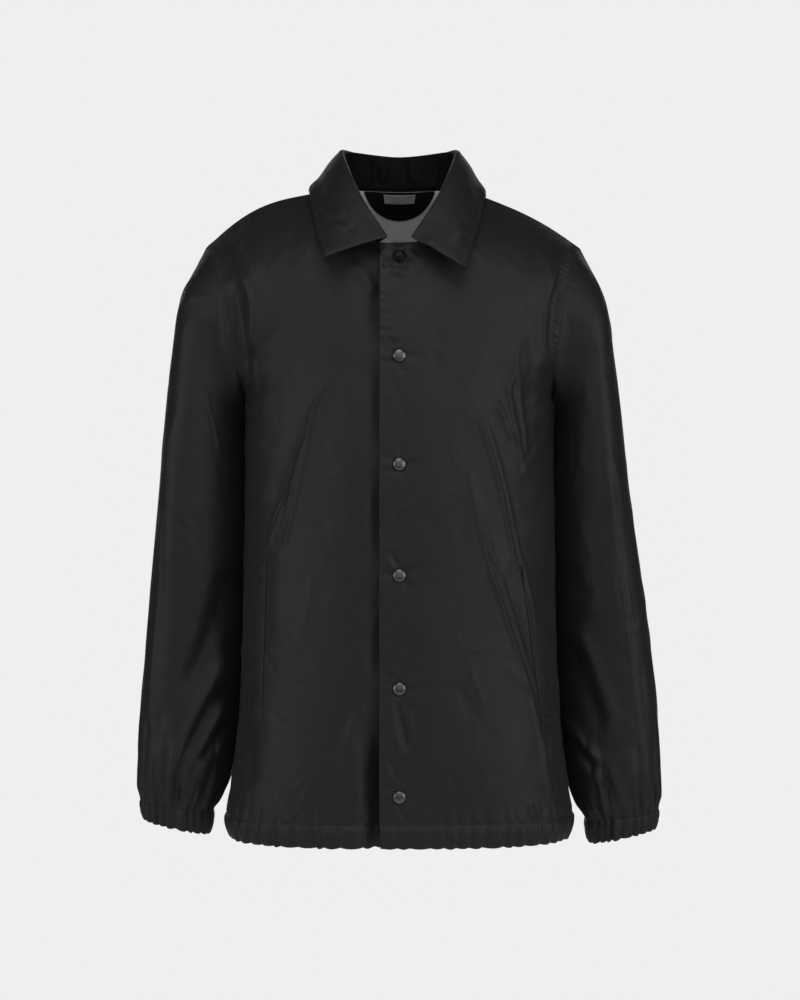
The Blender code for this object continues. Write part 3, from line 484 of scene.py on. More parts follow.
# How far from its seams each piece's folds and small random creases fade out, how far its other
# creases do, and how far all creases do from a sleeve's inner line
FADES = {
    "front_left": {"end": 0.022, "high": 0.030},
    "front_right": {"start": 0.022, "high": 0.030},
    "back": {"start": 0.030, "end": 0.030, "high": 0.040},
    "sleeve_left": {"low": 0.035, "high": 0.050},
    "sleeve_right": {"low": 0.035, "high": 0.050},
}
CREASE_FADE = 0.008
INNER_LINE_FADE = 0.03


def unit(vectors):
    return vectors / np.maximum(np.linalg.norm(vectors, axis=-1, keepdims=True), 1e-12)


def smooth(knots, values, at):
    """A curve through values at rising knots, with slopes from the neighbours."""
    knots = np.asarray(knots, float)
    values = np.asarray(values, float)
    at = np.clip(np.asarray(at, float), knots[0], knots[-1])
    slopes = np.gradient(values, knots, axis=0)
    i = np.clip(np.searchsorted(knots, at, side="right") - 1, 0, len(knots) - 2)
    wide = (...,) + (None,) * (values.ndim - 1)
    step = (knots[i + 1] - knots[i])[wide]
    t = ((at - knots[i]) / (knots[i + 1] - knots[i]))[wide]
    from_start = (1 + 2 * t) * (1 - t) ** 2 * values[i] + t * (1 - t) ** 2 * step * slopes[i]
    from_end = t * t * (3 - 2 * t) * values[i + 1] - t * t * (1 - t) * step * slopes[i + 1]
    return from_start + from_end


def along(points, shares):
    """Points at shares of the length of a smooth curve through a few points."""
    points = np.asarray(points, float)
    steps = np.linalg.norm(np.diff(points, axis=0), axis=1)
    knots = np.concatenate([[0.0], np.cumsum(steps)]) / steps.sum()
    return smooth(knots, points, shares)


def ramp(value, start, end):
    """0 at start, 1 at end, eased between."""
    t = np.clip((value - start) / (end - start), 0.0, 1.0)
    return t * t * (3 - 2 * t)


def bell(value, middle, reach):
    """1 at the middle, falling off on both sides of it."""
    return np.exp(-(((value - middle) / reach) ** 2))


def bezier(start, first, last, end, t):
    return (1 - t) ** 3 * start + 3 * t * (1 - t) ** 2 * first + 3 * t * t * (1 - t) * last + t**3 * end


def row_curve(start, end, turn, shares, fullness=SECTION_FULLNESS):
    """From the middle to the side, leaving along X and arriving along Y where it turns fully."""
    run = end - start
    first = start + run * np.array([fullness, fullness * (1 - turn), 1 / 3])
    last = end - run * np.array([fullness * (1 - turn), fullness, 1 / 3])
    u = np.asarray(shares)[:, None]
    return bezier(start, first, last, end, u)


def lengths(points):
    steps = np.linalg.norm(np.diff(points, axis=0), axis=-1)
    return np.concatenate([np.zeros((1,) + steps.shape[1:]), np.cumsum(steps, axis=0)])


def uneven_wave(places, pitch, seed):
    """Rounded puckers about a pitch apart with uneven spacing and height, from -1 to 1."""
    chance = np.random.default_rng(seed)
    count = int(places.max() / pitch) + 4
    edges = (np.arange(count) + chance.uniform(-0.3, 0.3, count)) * pitch
    heights = chance.uniform(0.45, 1.0, count)
    i = np.clip(np.searchsorted(edges, places, side="right") - 1, 0, count - 2)
    t = np.clip((places - edges[i]) / (edges[i + 1] - edges[i]), 0, 1)
    return heights[i] * (np.sin(np.pi * t) ** 0.8 * 1.6 - 0.8)


class Cloth:
    """A cloth piece as rows of points."""

    def __init__(self, name, grid, closed=False):
        self.name = name
        self.grid = np.array(grid, float)
        self.closed = closed
        self.find_normals()

    def find_normals(self):
        grid = self.grid
        if self.closed:
            across = np.roll(grid, -1, axis=1) - np.roll(grid, 1, axis=1)
        else:
            across = np.gradient(grid, axis=1)
        self.normals = unit(np.cross(across, np.gradient(grid, axis=0)))

    def measured(self):
        """How far each point is along its row and up its column, in metres."""
        up = lengths(self.grid)
        over = lengths(np.moveaxis(self.grid, 1, 0))
        return np.moveaxis(over, 0, 1), up

    def push(self, height):
        self.grid += self.normals * height[..., None]
        self.find_normals()

    def fade(self, start=None, end=None, low=None, high=None):
        """0 at each edge that is named, 1 from that distance in."""
        over, up = self.measured()
        made = np.ones(self.grid.shape[:2])
        if start:
            made *= ramp(over, 0.0, start)
        if end:
            made *= ramp(over[:, -1:] - over, 0.0, end)
        if low:
            made *= ramp(up, 0.0, low)
        if high:
            made *= ramp(up[-1:] - up, 0.0, high)
        return made

    def turn_under(self, radius, depth, axis=0):
        """Add rows, or columns, that turn in under the first one."""
        grid = np.moveaxis(self.grid, axis, 0)
        normals = np.moveaxis(self.normals, axis, 0)
        out = unit(grid[0] - grid[1])
        added = [grid[k] - normals[k] * 2 * radius for k in range(depth, 0, -1)]
        for turn in np.radians(TURN_ANGLES):
            inward = normals[0] * radius * (math.cos(turn) - 1)
            added.append(grid[0] + inward + out * radius * math.sin(turn))
        self.grid = np.moveaxis(np.concatenate([np.array(added), grid]), 0, axis)
        self.find_normals()

    def fold_heights(self, table):
        """How far the folds listed for this piece lift each point."""
        total = np.zeros(self.grid.shape[:2])
        for (piece, view), folds in table.items():
            if piece == self.name:
                facing = self.normals[..., 1] * (1 if view == "back" else -1)
                seen = np.clip(1.6 * facing, 0.0, 1.0)
                for fold in folds:
                    total += fold_height(self.grid, *fold) * seen
        return total

    def crumple_heights(self, seed):
        """Small creases in random places, the same ones each time."""
        count, long, wide, tall = CRUMPLES[self.name]
        chance = np.random.default_rng(seed)
        if self.name in ("front_left", "front_right", "back"):
            over, up = self.grid[..., 0], self.grid[..., 2]
        else:
            over, up = self.measured()
        height = np.zeros(self.grid.shape[:2])
        for _ in range(count):
            r = chance.integers(0, self.grid.shape[0])
            c = chance.integers(0, self.grid.shape[1])
            turn = chance.normal(math.pi / 2, 0.5)
            length = long * chance.uniform(0.5, 1.6) / 1000
            width = wide * chance.uniform(0.6, 1.6) / 1000
            bend = chance.uniform(-6.0, 6.0)
            lift = tall * chance.uniform(-0.8, 1.0) / 1000
            a = over - over[r, c]
            b = up - up[r, c]
            ahead = a * math.cos(turn) + b * math.sin(turn)
            aside = -a * math.sin(turn) + b * math.cos(turn) + bend * ahead * ahead
            height += lift * np.exp(-((aside / width) ** 2) - (ahead / length) ** 4)
        return height

    def at(self, row, column, lift=0.0):
        """A point between grid points, lifted along the normal."""
        rows, columns = self.grid.shape[:2]
        row = np.asarray(row, float)
        column = np.asarray(column, float)
        r = np.clip(np.floor(row).astype(int), 0, rows - 2)
        c = np.clip(np.floor(column).astype(int), 0, columns - 2)
        a = (row - r)[..., None]
        b = (column - c)[..., None]

        def blend(grid):
            low = grid[r, c] * (1 - b) + grid[r, c + 1] * b
            high = grid[r + 1, c] * (1 - b) + grid[r + 1, c + 1] * b
            return low * (1 - a) + high * a

        return blend(self.grid) + unit(blend(self.normals)) * np.asarray(lift)[..., None]

    def place_of(self, x, z):
        """The row and column seen at x, z from the front or back."""
        apart = (self.grid[..., 0] - x) ** 2 + (self.grid[..., 2] - z) ** 2
        r, c = np.unravel_index(np.argmin(apart), apart.shape)
        r = min(max(r, 1), self.grid.shape[0] - 2)
        c = min(max(c, 1), self.grid.shape[1] - 2)
        here = self.grid[r, c][[0, 2]]
        step_r = (self.grid[r + 1, c] - self.grid[r - 1, c])[[0, 2]] / 2
        step_c = (self.grid[r, c + 1] - self.grid[r, c - 1])[[0, 2]] / 2
        steps = np.stack([step_r, step_c], axis=1)
        move = np.linalg.lstsq(steps, np.array([x, z]) - here, rcond=None)[0]
        return r + np.clip(move[0], -1, 1), c + np.clip(move[1], -1, 1)


def fold_height(points, width, height, skew, line):
    """How far a fold lifts the cloth at these points, steeper on one side where it is skewed."""
    line = along(np.array(line) / 1000, np.linspace(0, 1, 33))
    width = width / 1000
    near = np.ones(points.shape[:2], bool)
    for axis, k in ((0, 0), (2, 1)):
        near &= points[..., axis] > line[:, k].min() - 4 * width
        near &= points[..., axis] < line[:, k].max() + 4 * width
    lift = np.zeros(points.shape[:2])
    if not near.any():
        return lift
    offset = points[near][:, None, (0, 2)] - line
    nearest = np.argmin(np.sum(offset * offset, axis=-1), axis=-1)
    way = np.gradient(line, axis=0)
    step = np.linalg.norm(way, axis=1)[nearest]
    way = unit(way)[nearest]
    offset = offset[np.arange(len(nearest)), nearest]
    ahead = np.sum(way * offset, axis=1) / step
    aside = way[:, 0] * offset[:, 1] - way[:, 1] * offset[:, 0]
    across = aside / (width * (1 + skew * np.tanh(2 * aside / width)))
    past = np.maximum(np.abs(ahead) - 0.5, 0) * step / width
    place = np.clip((nearest + ahead) / 32, 0.0, 1.0)
    taper = ramp(place, 0.0, 0.25) * ramp(1 - place, 0.0, 0.25)
    lift[near] = height / 1000 * taper * np.exp(-across * across - past * past)
    return lift


def eased(grid, top, start, rounds):
    """A half panel smoothed above the underarm, less towards its top rows, first columns and side."""
    row = np.arange(len(grid))[:, None]
    column = np.arange(grid.shape[1])
    free = ramp(row, LOWER_ROWS - 10, LOWER_ROWS + 40) * ramp(len(grid) - 1 - row, 0, top)
    free = free * ramp(column, *start) * ramp(grid.shape[1] - 1 - column, 0, 14)
    for _ in range(rounds):
        mean = (grid[:-2, 1:-1] + grid[2:, 1:-1] + grid[1:-1, :-2] + grid[1:-1, 2:]) / 4
        grid[1:-1, 1:-1] += free[1:-1, 1:-1, None] * (mean - grid[1:-1, 1:-1])
    return grid


def upper_shares():
    """Rows from the underarm to the shoulder: up the front edge, to the collar, round the neck."""
    centre = np.linspace(0, NECK_SHARE, CENTRE_ROWS + 1)
    strip = np.linspace(NECK_SHARE, COLLAR_START_SHARE, STRIP_ROWS + 1)[1:-1]
    neck = np.linspace(COLLAR_START_SHARE, 1, NECK_ROWS + 1)
    return np.concatenate([centre, strip, neck])


def lower_heights():
    return np.linspace(HEM_SEAM_Z, UNDERARM[2], LOWER_ROWS + 1)[:-1]


def armhole(points, side, shares):
    curve = along(points, shares)
    curve[:, 0] += SIDES[side]["shoulder_out"] * ramp(shares, 0.0, 0.5)
    return curve


def shoulder_seam(side, shares):
    end = np.array(SHOULDER_POINT) + (SIDES[side]["shoulder_out"], 0, 0)
    line = np.array(NECK_POINT) + (end - np.array(NECK_POINT)) * shares[:, None]
    line[:, 2] += SIDES[side]["shoulder_arch"] * np.sin(np.pi * shares**1.3)
    return line


def front_section(size, z, shares):
    start = np.array([-FRONT_OVERLAP, -size["front"], z])
    end = np.array([size["half_width"], UNDERARM[1], z])
    return row_curve(start, end, 1.0, shares, size["front_square"])


def back_section(size, z, shares):
    start = np.array([0, size["back"], z])
    end = np.array([size["half_width"], UNDERARM[1], z])
    return row_curve(start, end, 1.0, shares, size["back_square"])


def front_half(side):
    """Rows of points from the front edge to the side, as if on the wearer's left."""
    shares = np.linspace(0, 1, FRONT_COLUMNS + 1)
    rows = [front_section(TORSO.at(z), z, shares) for z in lower_heights()]
    upper = upper_shares()
    heights = np.linspace(UNDERARM[2], COLLAR_MEETS_Z, CENTRE_ROWS + 1)
    depth = FRONT_MIDDLE.at(heights)["depth"]
    edge = np.stack([np.full_like(heights, -FRONT_OVERLAP), -depth, heights], axis=1)
    neck = along(FRONT_NECK, np.linspace(0, 1, NECK_ROWS + 1))
    t = np.linspace(0, 1, STRIP_ROWS + 1)[1:-1, None]
    edge = np.concatenate([edge, edge[-1] * (1 - t) + neck[0] * t, neck])
    turns = np.interp(upper, (0, NECK_SHARE, 1), (1.0, 0.75, 0.1))
    for start, end, turn in zip(edge, armhole(FRONT_ARMHOLE, side, upper), turns):
        rows.append(row_curve(start, end, turn, shares))
    grid = np.array(rows)
    miss = shoulder_seam(side, shares) - grid[-1]
    weight = np.concatenate([np.zeros(LOWER_ROWS), upper**3])
    grid = grid + weight[:, None, None] * miss
    return eased(grid, top=12, start=(2, 16), rounds=260)


def back_half(side):
    """Rows of points from the middle of the back to the side, as if on the wearer's left."""
    neck_part = np.linspace(0, BACK_NECK_SHARE, BACK_NECK_COLUMNS + 1)
    side_part = np.linspace(BACK_NECK_SHARE, 1, BACK_COLUMNS + 1)
    shares = np.concatenate([neck_part[:-1], side_part])
    rows = [back_section(TORSO.at(z), z, shares) for z in lower_heights()]
    low = back_section(TORSO.at(UNDERARM[2]), UNDERARM[2], shares)
    neck = along(BACK_NECK, np.linspace(0, 1, BACK_NECK_COLUMNS + 1))
    top = np.concatenate([neck[:-1], shoulder_seam(side, np.linspace(0, 1, BACK_COLUMNS + 1))])
    over = ramp(shares, 0.0, 0.42)[:, None]
    lift = BLADE_LIFT * (1 - 0.75 * shares**2)
    first = low + np.stack([0 * lift, BLADE_FULLNESS + 0 * lift, lift], axis=1)
    last = top + np.array(BACK_NECK_PULL) * (1 - over) + np.array(BACK_SHOULDER_PULL) * over
    upper = upper_shares()
    rise = bezier(low, first, last, top, upper[:, None, None])
    miss = armhole(BACK_ARMHOLE, side, upper) - rise[:, -1]
    rise += (shares**4)[None, :, None] * miss[:, None]
    grid = np.concatenate([np.array(rows), rise])
    return eased(grid, top=16, start=(0, 14), rounds=220)


def on_side(grid, side, closed=False):
    """A left-hand grid moved to its side, columns still running the same way round the body."""
    if SIDES[side]["sign"] > 0:
        return grid
    flipped = grid[:, ::-1] * MIRROR
    return np.roll(flipped, 1, axis=1) if closed else flipped


def tuck_under(cloth):
    """Sink the right front's edge behind the left front, deepest between the snaps and at the foot."""
    x = cloth.grid[..., 0]
    z = cloth.grid[..., 2]
    depth = UNDER_DIP * ramp(x, *UNDER_DIP_ACROSS) + LAP_DIP * ramp(x, *LAP_DIP_ACROSS)
    between = np.ones_like(z)
    for height in SNAP_HEIGHTS:
        between *= 1 - SNAP_HOLD * bell(z, height, SNAP_HOLD_REACH)
    depth += BETWEEN_SNAPS_DIP * ramp(x, *BETWEEN_SNAPS_ACROSS) * between * ramp(z, *BETWEEN_SNAPS_UP)
    depth += FOOT_DIP * ramp(x, *FOOT_DIP_ACROSS) * ramp(z, *FOOT_DIP_DOWN)
    cloth.grid[..., 1] += depth
    cloth.find_normals()


def ring(size, side, share, angles):
    """A sleeve or cuff section from its inner line round the front, as if on the wearer's left."""
    way = SIDES[side]
    out_x = size["out_x"] + way["shoulder_out"] * (1 - ramp(share, 0.3, 0.9))
    inner = np.array([size["in_x"], 0, size["in_z"]])
    outer = np.array([out_x, 0, size["out_z"]])
    middle_y = (size["back"] - size["front"]) / 2
    half_depth = (size["back"] + size["front"]) / 2
    over = -np.sign(np.cos(angles)) * np.abs(np.cos(angles)) ** SLEEVE_SQUARE
    ahead = np.sign(np.sin(angles)) * np.abs(np.sin(angles)) ** SLEEVE_SQUARE
    points = (inner + outer) / 2 + (outer - inner) / 2 * over[:, None]
    points[:, 1] = middle_y - half_depth * ahead + size["in_y"] * (1 - over) / 2
    points[:, 2] += way["cuff_up"] * share * share
    return points


def loop_angles():
    """How far round the sleeve each armhole point leads, front and then back."""
    knots = np.concatenate([np.linspace(0, NECK_SHARE, 7), np.linspace(COLLAR_START_SHARE, 1, 6)])
    half = smooth(knots, np.arange(13) * np.pi / 12, upper_shares())
    return np.concatenate([half, (2 * np.pi - half)[::-1][1:-1]])


def gathers(angles, count, side, number):
    """Uneven gathers round a sleeve or cuff, each set with its own seed."""
    return uneven_wave(angles / (2 * np.pi), 1 / count, SIDES[side]["gather_seed"] + number)


def round_ends(angles):
    """0 at the sleeve's inner line, where the way round starts and ends."""
    return np.minimum(ramp(angles, 0, GATHER_END_TURN), ramp(2 * np.pi - angles, 0, GATHER_END_TURN))


def sleeve_half(side, front, back):
    """The sleeve's rows of points from cuff to armhole, as if on the wearer's left."""
    upper = upper_shares()
    ease = UNDERARM_EASE * (1 - 2 * upper) * (1 - ramp(upper, *UNDERARM_EASE_FALL))
    loop = np.concatenate([front, back[::-1][1:-1]])
    loop[:, 0] += np.concatenate([ease, ease[::-1][1:-1]])
    angles = loop_angles()
    stations = [loop]
    for share in SLEEVE.rows[:, 0]:
        stations.append(ring(SLEEVE.at(share), side, share, angles))
    knots = np.concatenate([[0.0], SLEEVE.rows[:, 0]])
    shares = np.linspace(0, 1, SLEEVE_ROWS + 1)
    rows = smooth(knots, np.array(stations), shares)
    out = unit(rows - rows.mean(axis=1, keepdims=True))
    large = gathers(angles, SLEEVE_GATHERS, side, 0)
    small = gathers(angles, CUFF_GATHERS, side, 1)
    ends = round_ends(angles)
    full = SLEEVE_GATHER_HEIGHT * ramp(shares, *SLEEVE_GATHER_RISE) * (1 - ramp(shares, *SLEEVE_GATHER_FALL))
    near = SLEEVE_FINE_HEIGHT * ramp(shares, *SLEEVE_FINE_RISE)
    rows = rows + out * (ends * (full[:, None] * large + near[:, None] * small))[..., None]
    return clear_of_body(rows)[::-1]


def clear_of_body(rows):
    """Sleeve points moved out where they would come into the side of the body."""
    heights = np.linspace(HEM_SEAM_Z, UNDERARM[2], BODY_GRID[0])
    depths = np.linspace(-BODY_DEPTH, BODY_DEPTH, BODY_GRID[1])
    shares = np.linspace(0, 1, 61)
    reach = []
    for z in heights:
        size = TORSO.at(z)
        behind = back_section(size, z, shares)[::-1][1:]
        line = np.concatenate([front_section(size, z, shares), behind])
        reach.append(np.interp(depths, line[:, 1], line[:, 0]))
    reach = np.array(reach)
    i = np.clip((rows[..., 2] - heights[0]) / (heights[1] - heights[0]), 0, len(heights) - 1.001)
    j = np.clip((rows[..., 1] - depths[0]) / (depths[1] - depths[0]), 0, len(depths) - 1.001)
    a = i.astype(int)
    b = j.astype(int)
    s = i - a
    t = j - b
    low = reach[a, b] * (1 - t) + reach[a, b + 1] * t
    high = reach[a + 1, b] * (1 - t) + reach[a + 1, b + 1] * t
    limit = low * (1 - s) + high * s + SLEEVE_CLEARANCE
    below = rows[..., 2] <= UNDERARM[2]
    rows[..., 0] = np.where(below, np.maximum(rows[..., 0], limit), rows[..., 0])
    return rows


def cuff_half(side, end_row):
    """The gathered cuff from its mouth to the sleeve, as if on the wearer's left."""
    angles = loop_angles()
    mouth = ring(CUFF_END, side, 1.0, angles)
    out = unit(mouth - mouth.mean(axis=0))
    share = np.linspace(1, 0, CUFF_ROWS + 1)[:, None]
    wave = gathers(angles, CUFF_GATHERS, side, 1)
    fine = gathers(angles, 2 * CUFF_GATHERS, side, 2)
    ends = round_ends(angles)
    held = 1 - CUFF_HELD * bell(share, 0.5, CUFF_HELD_REACH)
    deep = (CUFF_GATHER_HEIGHT + CUFF_MOUTH_FLARE * ramp(share, 0.55, 1.0)) * held
    swell = CUFF_SWELL * np.sin(np.pi * share) ** 0.6
    fine = CUFF_FINE_HEIGHT * ramp(share, 0.0, 0.2) * fine
    lift = swell + ends * (deep * share * wave + fine)
    rows = end_row * (1 - share[..., None]) + mouth * share[..., None] + out * lift[..., None]
    rows[..., 2] -= CUFF_SCALLOP * ramp(share, 0.7, 1.0) * wave
    return rows


def hem_casing(name, cloth, seed):
    """The puckered casing below a panel's lowest row."""
    top = cloth.grid[0]
    place = lengths(top)
    out = unit(top * np.array([1, 1, 0]))
    bottom = top * np.array([HEM_DRAW_IN, HEM_DRAW_IN, 1]) - np.array([0, 0, HEM_HEIGHT])
    share = np.linspace(1, 0, HEM_ROWS + 1)[:, None]
    wave = uneven_wave(place, HEM_PUCKER_PITCH, seed)
    fine = uneven_wave(place, HEM_FINE_PITCH, seed + 1)
    ends = ramp(place, 0.0, HEM_END_FADE) * ramp(place[-1] - place, 0.0, HEM_END_FADE)
    swell = HEM_SWELL * np.sin(np.pi * share) ** 0.7
    deep = HEM_PUCKER_HEIGHT * ramp(share, 0.0, 0.25) * ends
    lift = swell + deep * wave + HEM_FINE_HEIGHT * ends * ramp(share, 0.0, 0.15) * fine
    rows = top * (1 - share[..., None]) + bottom * share[..., None] + out * lift[..., None]
    rows[..., 2] -= HEM_SCALLOP * ramp(share, 0.6, 1.0) * wave * ends
    return Cloth(name, rows)


def collar_rows(neck, panels):
    """The collar from the neck seam up, over the fold and down to its outer edge."""
    length = lengths(neck)
    middle = len(neck) // 2
    left = np.arange(len(neck)) <= middle
    from_right = (length[-1] - length) / (length[-1] - length[middle])
    shares = np.where(left, length / length[middle], from_right)
    sign = np.where(left, 1.0, -1.0)
    size = COLLAR.at(shares)
    fold = np.stack([sign * size["fold_x"], size["fold_y"], size["fold_z"]], axis=1)
    edge = np.stack([sign * size["edge_x"], size["edge_y"], size["edge_z"]], axis=1)
    hang = {key: np.where(left, SIDES["left"][key], SIDES["right"][key]) for key in SIDES["left"]}
    point = 1 - ramp(shares, 0.0, 0.35)
    beside = ramp(shares, 0.05, 0.25) * (1 - ramp(shares, 0.65, 0.90))
    edge[:, 2] += hang["point_up"] * point
    edge[:, 0] += sign * (hang["point_out"] * point + hang["edge_out"] * beside)
    up = unit(fold - (neck + edge) / 2)
    out = edge - neck
    out = unit(out - up * np.sum(out * up, axis=1, keepdims=True))
    centre = fold - up * COLLAR_ROLL
    start = centre - out * COLLAR_ROLL
    rows = [neck * (1 - t) + start * t for t in np.linspace(0, 1, COLLAR_STAND_STEPS + 1)[:-1]]
    for turn in np.radians(np.linspace(180, 0, COLLAR_ROLL_STEPS + 1)):
        rows.append(centre + out * COLLAR_ROLL * math.cos(turn) + up * COLLAR_ROLL * math.sin(turn))
    start = rows[-1]
    for share in np.linspace(0, 1, COLLAR_LEAF_STEPS + 1)[1:]:
        bulge = COLLAR_BULGE * math.sin(math.pi * share * 0.85)
        rows.append(start + (edge - start) * share + (out + up) * 0.7 * bulge)
    rows = np.array(rows)
    return kept_above(rows, len(rows) - COLLAR_LIFTED_ROWS, panels, COLLAR_CLEARANCE)


def kept_above(rows, first, panels, clearance):
    """Rows of points moved out where they come too near the panels below them."""
    inner = slice(4, -4)
    base = np.concatenate([panel.grid[:, inner].reshape(-1, 3) for panel in panels])
    normals = np.concatenate([panel.normals[:, inner].reshape(-1, 3) for panel in panels])
    # Points past a panel's edge find its rim nearest, and the rim pushes none
    rims = []
    for panel in panels:
        rim = np.zeros(panel.grid[:, inner].shape[:2], bool)
        rim[:, :3] = True
        rim[:, -3:] = True
        if panel.name == "back":
            rim[-4:] = True
        rims.append(rim.ravel())
    rim = np.concatenate(rims)
    high = np.flatnonzero(base[:, 2] > BELOW_COLLAR_Z)
    tree = KDTree(len(high))
    for i in high:
        tree.insert(base[i], i)
    tree.balance()
    need = np.zeros(rows.shape[:2])
    way = np.zeros(rows.shape)
    for r in range(first, len(rows)):
        for c in range(rows.shape[1]):
            near = [found[1] for found in tree.find_n(rows[r, c], 8)]
            height = np.sum((rows[r, c] - base[near]) * normals[near], axis=1).min()
            if not rim[near[0]]:
                need[r, c] = max(0.0, clearance - height)
            way[r, c] = normals[near].mean(axis=0)
    way[:first] = way[first]
    wide = np.pad(need, 4, mode="edge")
    tall, broad = need.shape
    need = np.max([wide[j : j + tall, k : k + broad] for j in range(9) for k in range(9)], axis=0)
    need = blurred(need, 4)
    return rows + unit(blurred(way, 5)) * need[..., None]


def blurred(field, reach):
    """Each value averaged with its neighbours."""
    for axis in (0, 1):
        pad = [(0, 0)] * field.ndim
        pad[axis] = (reach, reach)
        wide = np.pad(field, pad, mode="edge")
        steps = np.arange(field.shape[axis])
        near = [np.take(wide, steps + k, axis=axis) for k in range(2 * reach + 1)]
        field = sum(near) / len(near)
    return field


def add_mesh(name, points, faces, materials, spots=None):
    data = bpy.data.meshes.new(name)
    data.from_pydata(points, [], faces)
    data.polygons.foreach_set("use_smooth", np.ones(len(data.polygons), bool))
    if spots is not None:
        layer = data.uv_layers.new(name="cloth")
        corner = np.zeros(len(data.loops), np.int32)
        data.loops.foreach_get("vertex_index", corner)
        layer.data.foreach_set("uv", spots[corner].astype(np.float32).ravel())
    for material in materials:
        data.materials.append(material)
    data.update()
    made = bpy.data.objects.new(name, data)
    bpy.context.scene.collection.objects.link(made)
    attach(made, "root")
    return made


def quads(rows, columns, closed, first=0):
    across = np.arange(columns if closed else columns - 1)
    r, c = np.meshgrid(np.arange(rows - 1), across, indexing="ij")
    d = (c + 1) % columns
    corners = (r * columns + c, r * columns + d, (r + 1) * columns + d, (r + 1) * columns + c)
    return np.stack([corner.ravel() for corner in corners], axis=1) + first


def add_cloth(cloth, layers, faces, material):
    """The cloth as layers of points, in place of the node of its name, with its metres as UV."""
    over, up = cloth.measured()
    spots = np.stack([over.ravel(), up.ravel()], axis=1)
    points = np.concatenate([layer.reshape(-1, 3) for layer in layers])
    spots = np.concatenate([spots] * len(layers))
    made = add_mesh(cloth.name + "_cloth", points.tolist(), faces.tolist(), [material], spots)
    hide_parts(cloth.name)
    return made


def add_shell(cloth, material):
    """The cloth as one layer."""
    rows, columns = cloth.grid.shape[:2]
    return add_cloth(cloth, [cloth.grid], quads(rows, columns, cloth.closed), material)


def add_walled(cloth, wall, material):
    """The cloth as a closed wall, thinner at its rim."""
    rows, columns = cloth.grid.shape[:2]
    count = rows * columns
    thick = wall * (RIM_SHARE + (1 - RIM_SHARE) * cloth.fade(wall, wall, wall, wall))[..., None]
    outer = cloth.grid + cloth.normals * thick / 2
    inner = cloth.grid - cloth.normals * thick / 2
    number = np.arange(count).reshape(rows, columns)
    edges = (number[0], number[1:, -1], number[-1, -2::-1], number[-2:0:-1, 0])
    rim = np.concatenate(edges)
    after = np.roll(rim, -1)
    faces = (
        quads(rows, columns, False),
        quads(rows, columns, False, count)[:, ::-1],
        np.stack([after, rim, rim + count, after + count], axis=1),
    )
    return add_cloth(cloth, [outer, inner], np.concatenate(faces), material)


def add_snap(index, cloth, row, column):
    """A domed cap whose rolled rim is drawn in darker metal, painted shade for the shadow ring round it. The
    top one is dark all over, painted shade for the crumpled cloth round it.
    """
    base = cloth.at(row, column, np.array(WALL / 2 + LAY_GAP))
    out = unit(cloth.at(row, column, np.array(1.0)) - base)
    turn = Vector((0, 0, 1)).rotation_difference(Vector(out)).to_matrix().to_4x4()
    place = Matrix.Translation(Vector(base)) @ turn
    angles = [2 * math.pi * i / SNAP_SIDES for i in range(SNAP_SIDES)]
    points = []
    for radius, height in SNAP_PROFILE:
        for angle in angles:
            spot = Vector((math.cos(angle) * radius, math.sin(angle) * radius, 0)) * SNAP_RADIUS
            spot.z = height * SNAP_HEIGHT
            points.append(tuple(place @ spot))
    points.append(tuple(place @ Vector((0, 0, SNAP_HEIGHT))))
    top = len(points) - 1
    last = top - SNAP_SIDES
    faces = quads(len(SNAP_PROFILE), SNAP_SIDES, True).tolist()
    faces += [(last + i, last + (i + 1) % SNAP_SIDES, top) for i in range(SNAP_SIDES)]
    # The top snap's cap is all darker metal, and every rim row too: painted shade
    cap = painted_shade_metal if index == 0 else gunmetal
    made = add_mesh("snap_%d_cap" % (index + 1), points, faces, [cap, painted_shade_metal])
    rim = np.arange(len(faces)) < SNAP_SHADE_RIM_ROWS * SNAP_SIDES
    made.data.polygons.foreach_set("material_index", rim.astype(np.int32))
    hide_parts("snap_%d" % (index + 1))


class Thread:
    """Stitches, gathered into one mesh."""

    SIDES = 5
    # Rings along a stitch: its share of the way, size and lift, the last two in radii
    RINGS = ((0.02, 0.35, -0.4), (0.2, 1.0, 0.25), (0.5, 1.0, 0.5), (0.8, 1.0, 0.25), (0.98, 0.35, -0.4))

    def __init__(self):
        self.points = []
        self.faces = []

    def stitch(self, start, end, normal, radius):
        first = len(self.points)
        way = end - start
        long = np.linalg.norm(way)
        way = way / max(long, 1e-9)
        aside = np.cross(way, normal)
        turns = [2 * math.pi * a / self.SIDES for a in range(self.SIDES)]
        for share, size, lift in self.RINGS:
            centre = start + way * long * share + normal * radius * lift
            for turn in turns:
                spoke = aside * math.cos(turn) + normal * math.sin(turn)
                self.points.append(centre + radius * size * spoke)
        self.faces += quads(len(self.RINGS), self.SIDES, True, first).tolist()

    def line(self, points, normals, length=0.0026, pitch=0.0034, radius=0.00026):
        """Stitches along a line of points on the cloth."""
        place = lengths(points)

        def on(values, at):
            return np.array([np.interp(at, place, values[:, k]) for k in range(3)])

        for low in np.arange(0.0005, place[-1] - length, pitch):
            normal = unit(on(normals, low + length / 2))
            self.stitch(on(points, low), on(points, low + length), normal, radius)

    def sew(self, cloth, rows, columns, lift=STITCH_LIFT, **sizes):
        """Stitches along places on the cloth's grid."""
        points = cloth.at(rows, columns, np.full(len(rows), lift))
        normals = unit(cloth.at(rows, columns, np.ones(len(rows))) - points)
        self.line(points, normals, **sizes)

    def add(self, name, material):
        made = add_mesh(name, np.array(self.points).tolist(), self.faces, [material])
        return made


def fill(tree, node, inputs):
    """Set a node's inputs, each to a value or from another node's output."""
    for socket, value in inputs.items():
        if isinstance(value, bpy.types.NodeSocket):
            tree.links.new(value, node.inputs[socket])
        else:
            node.inputs[socket].default_value = value


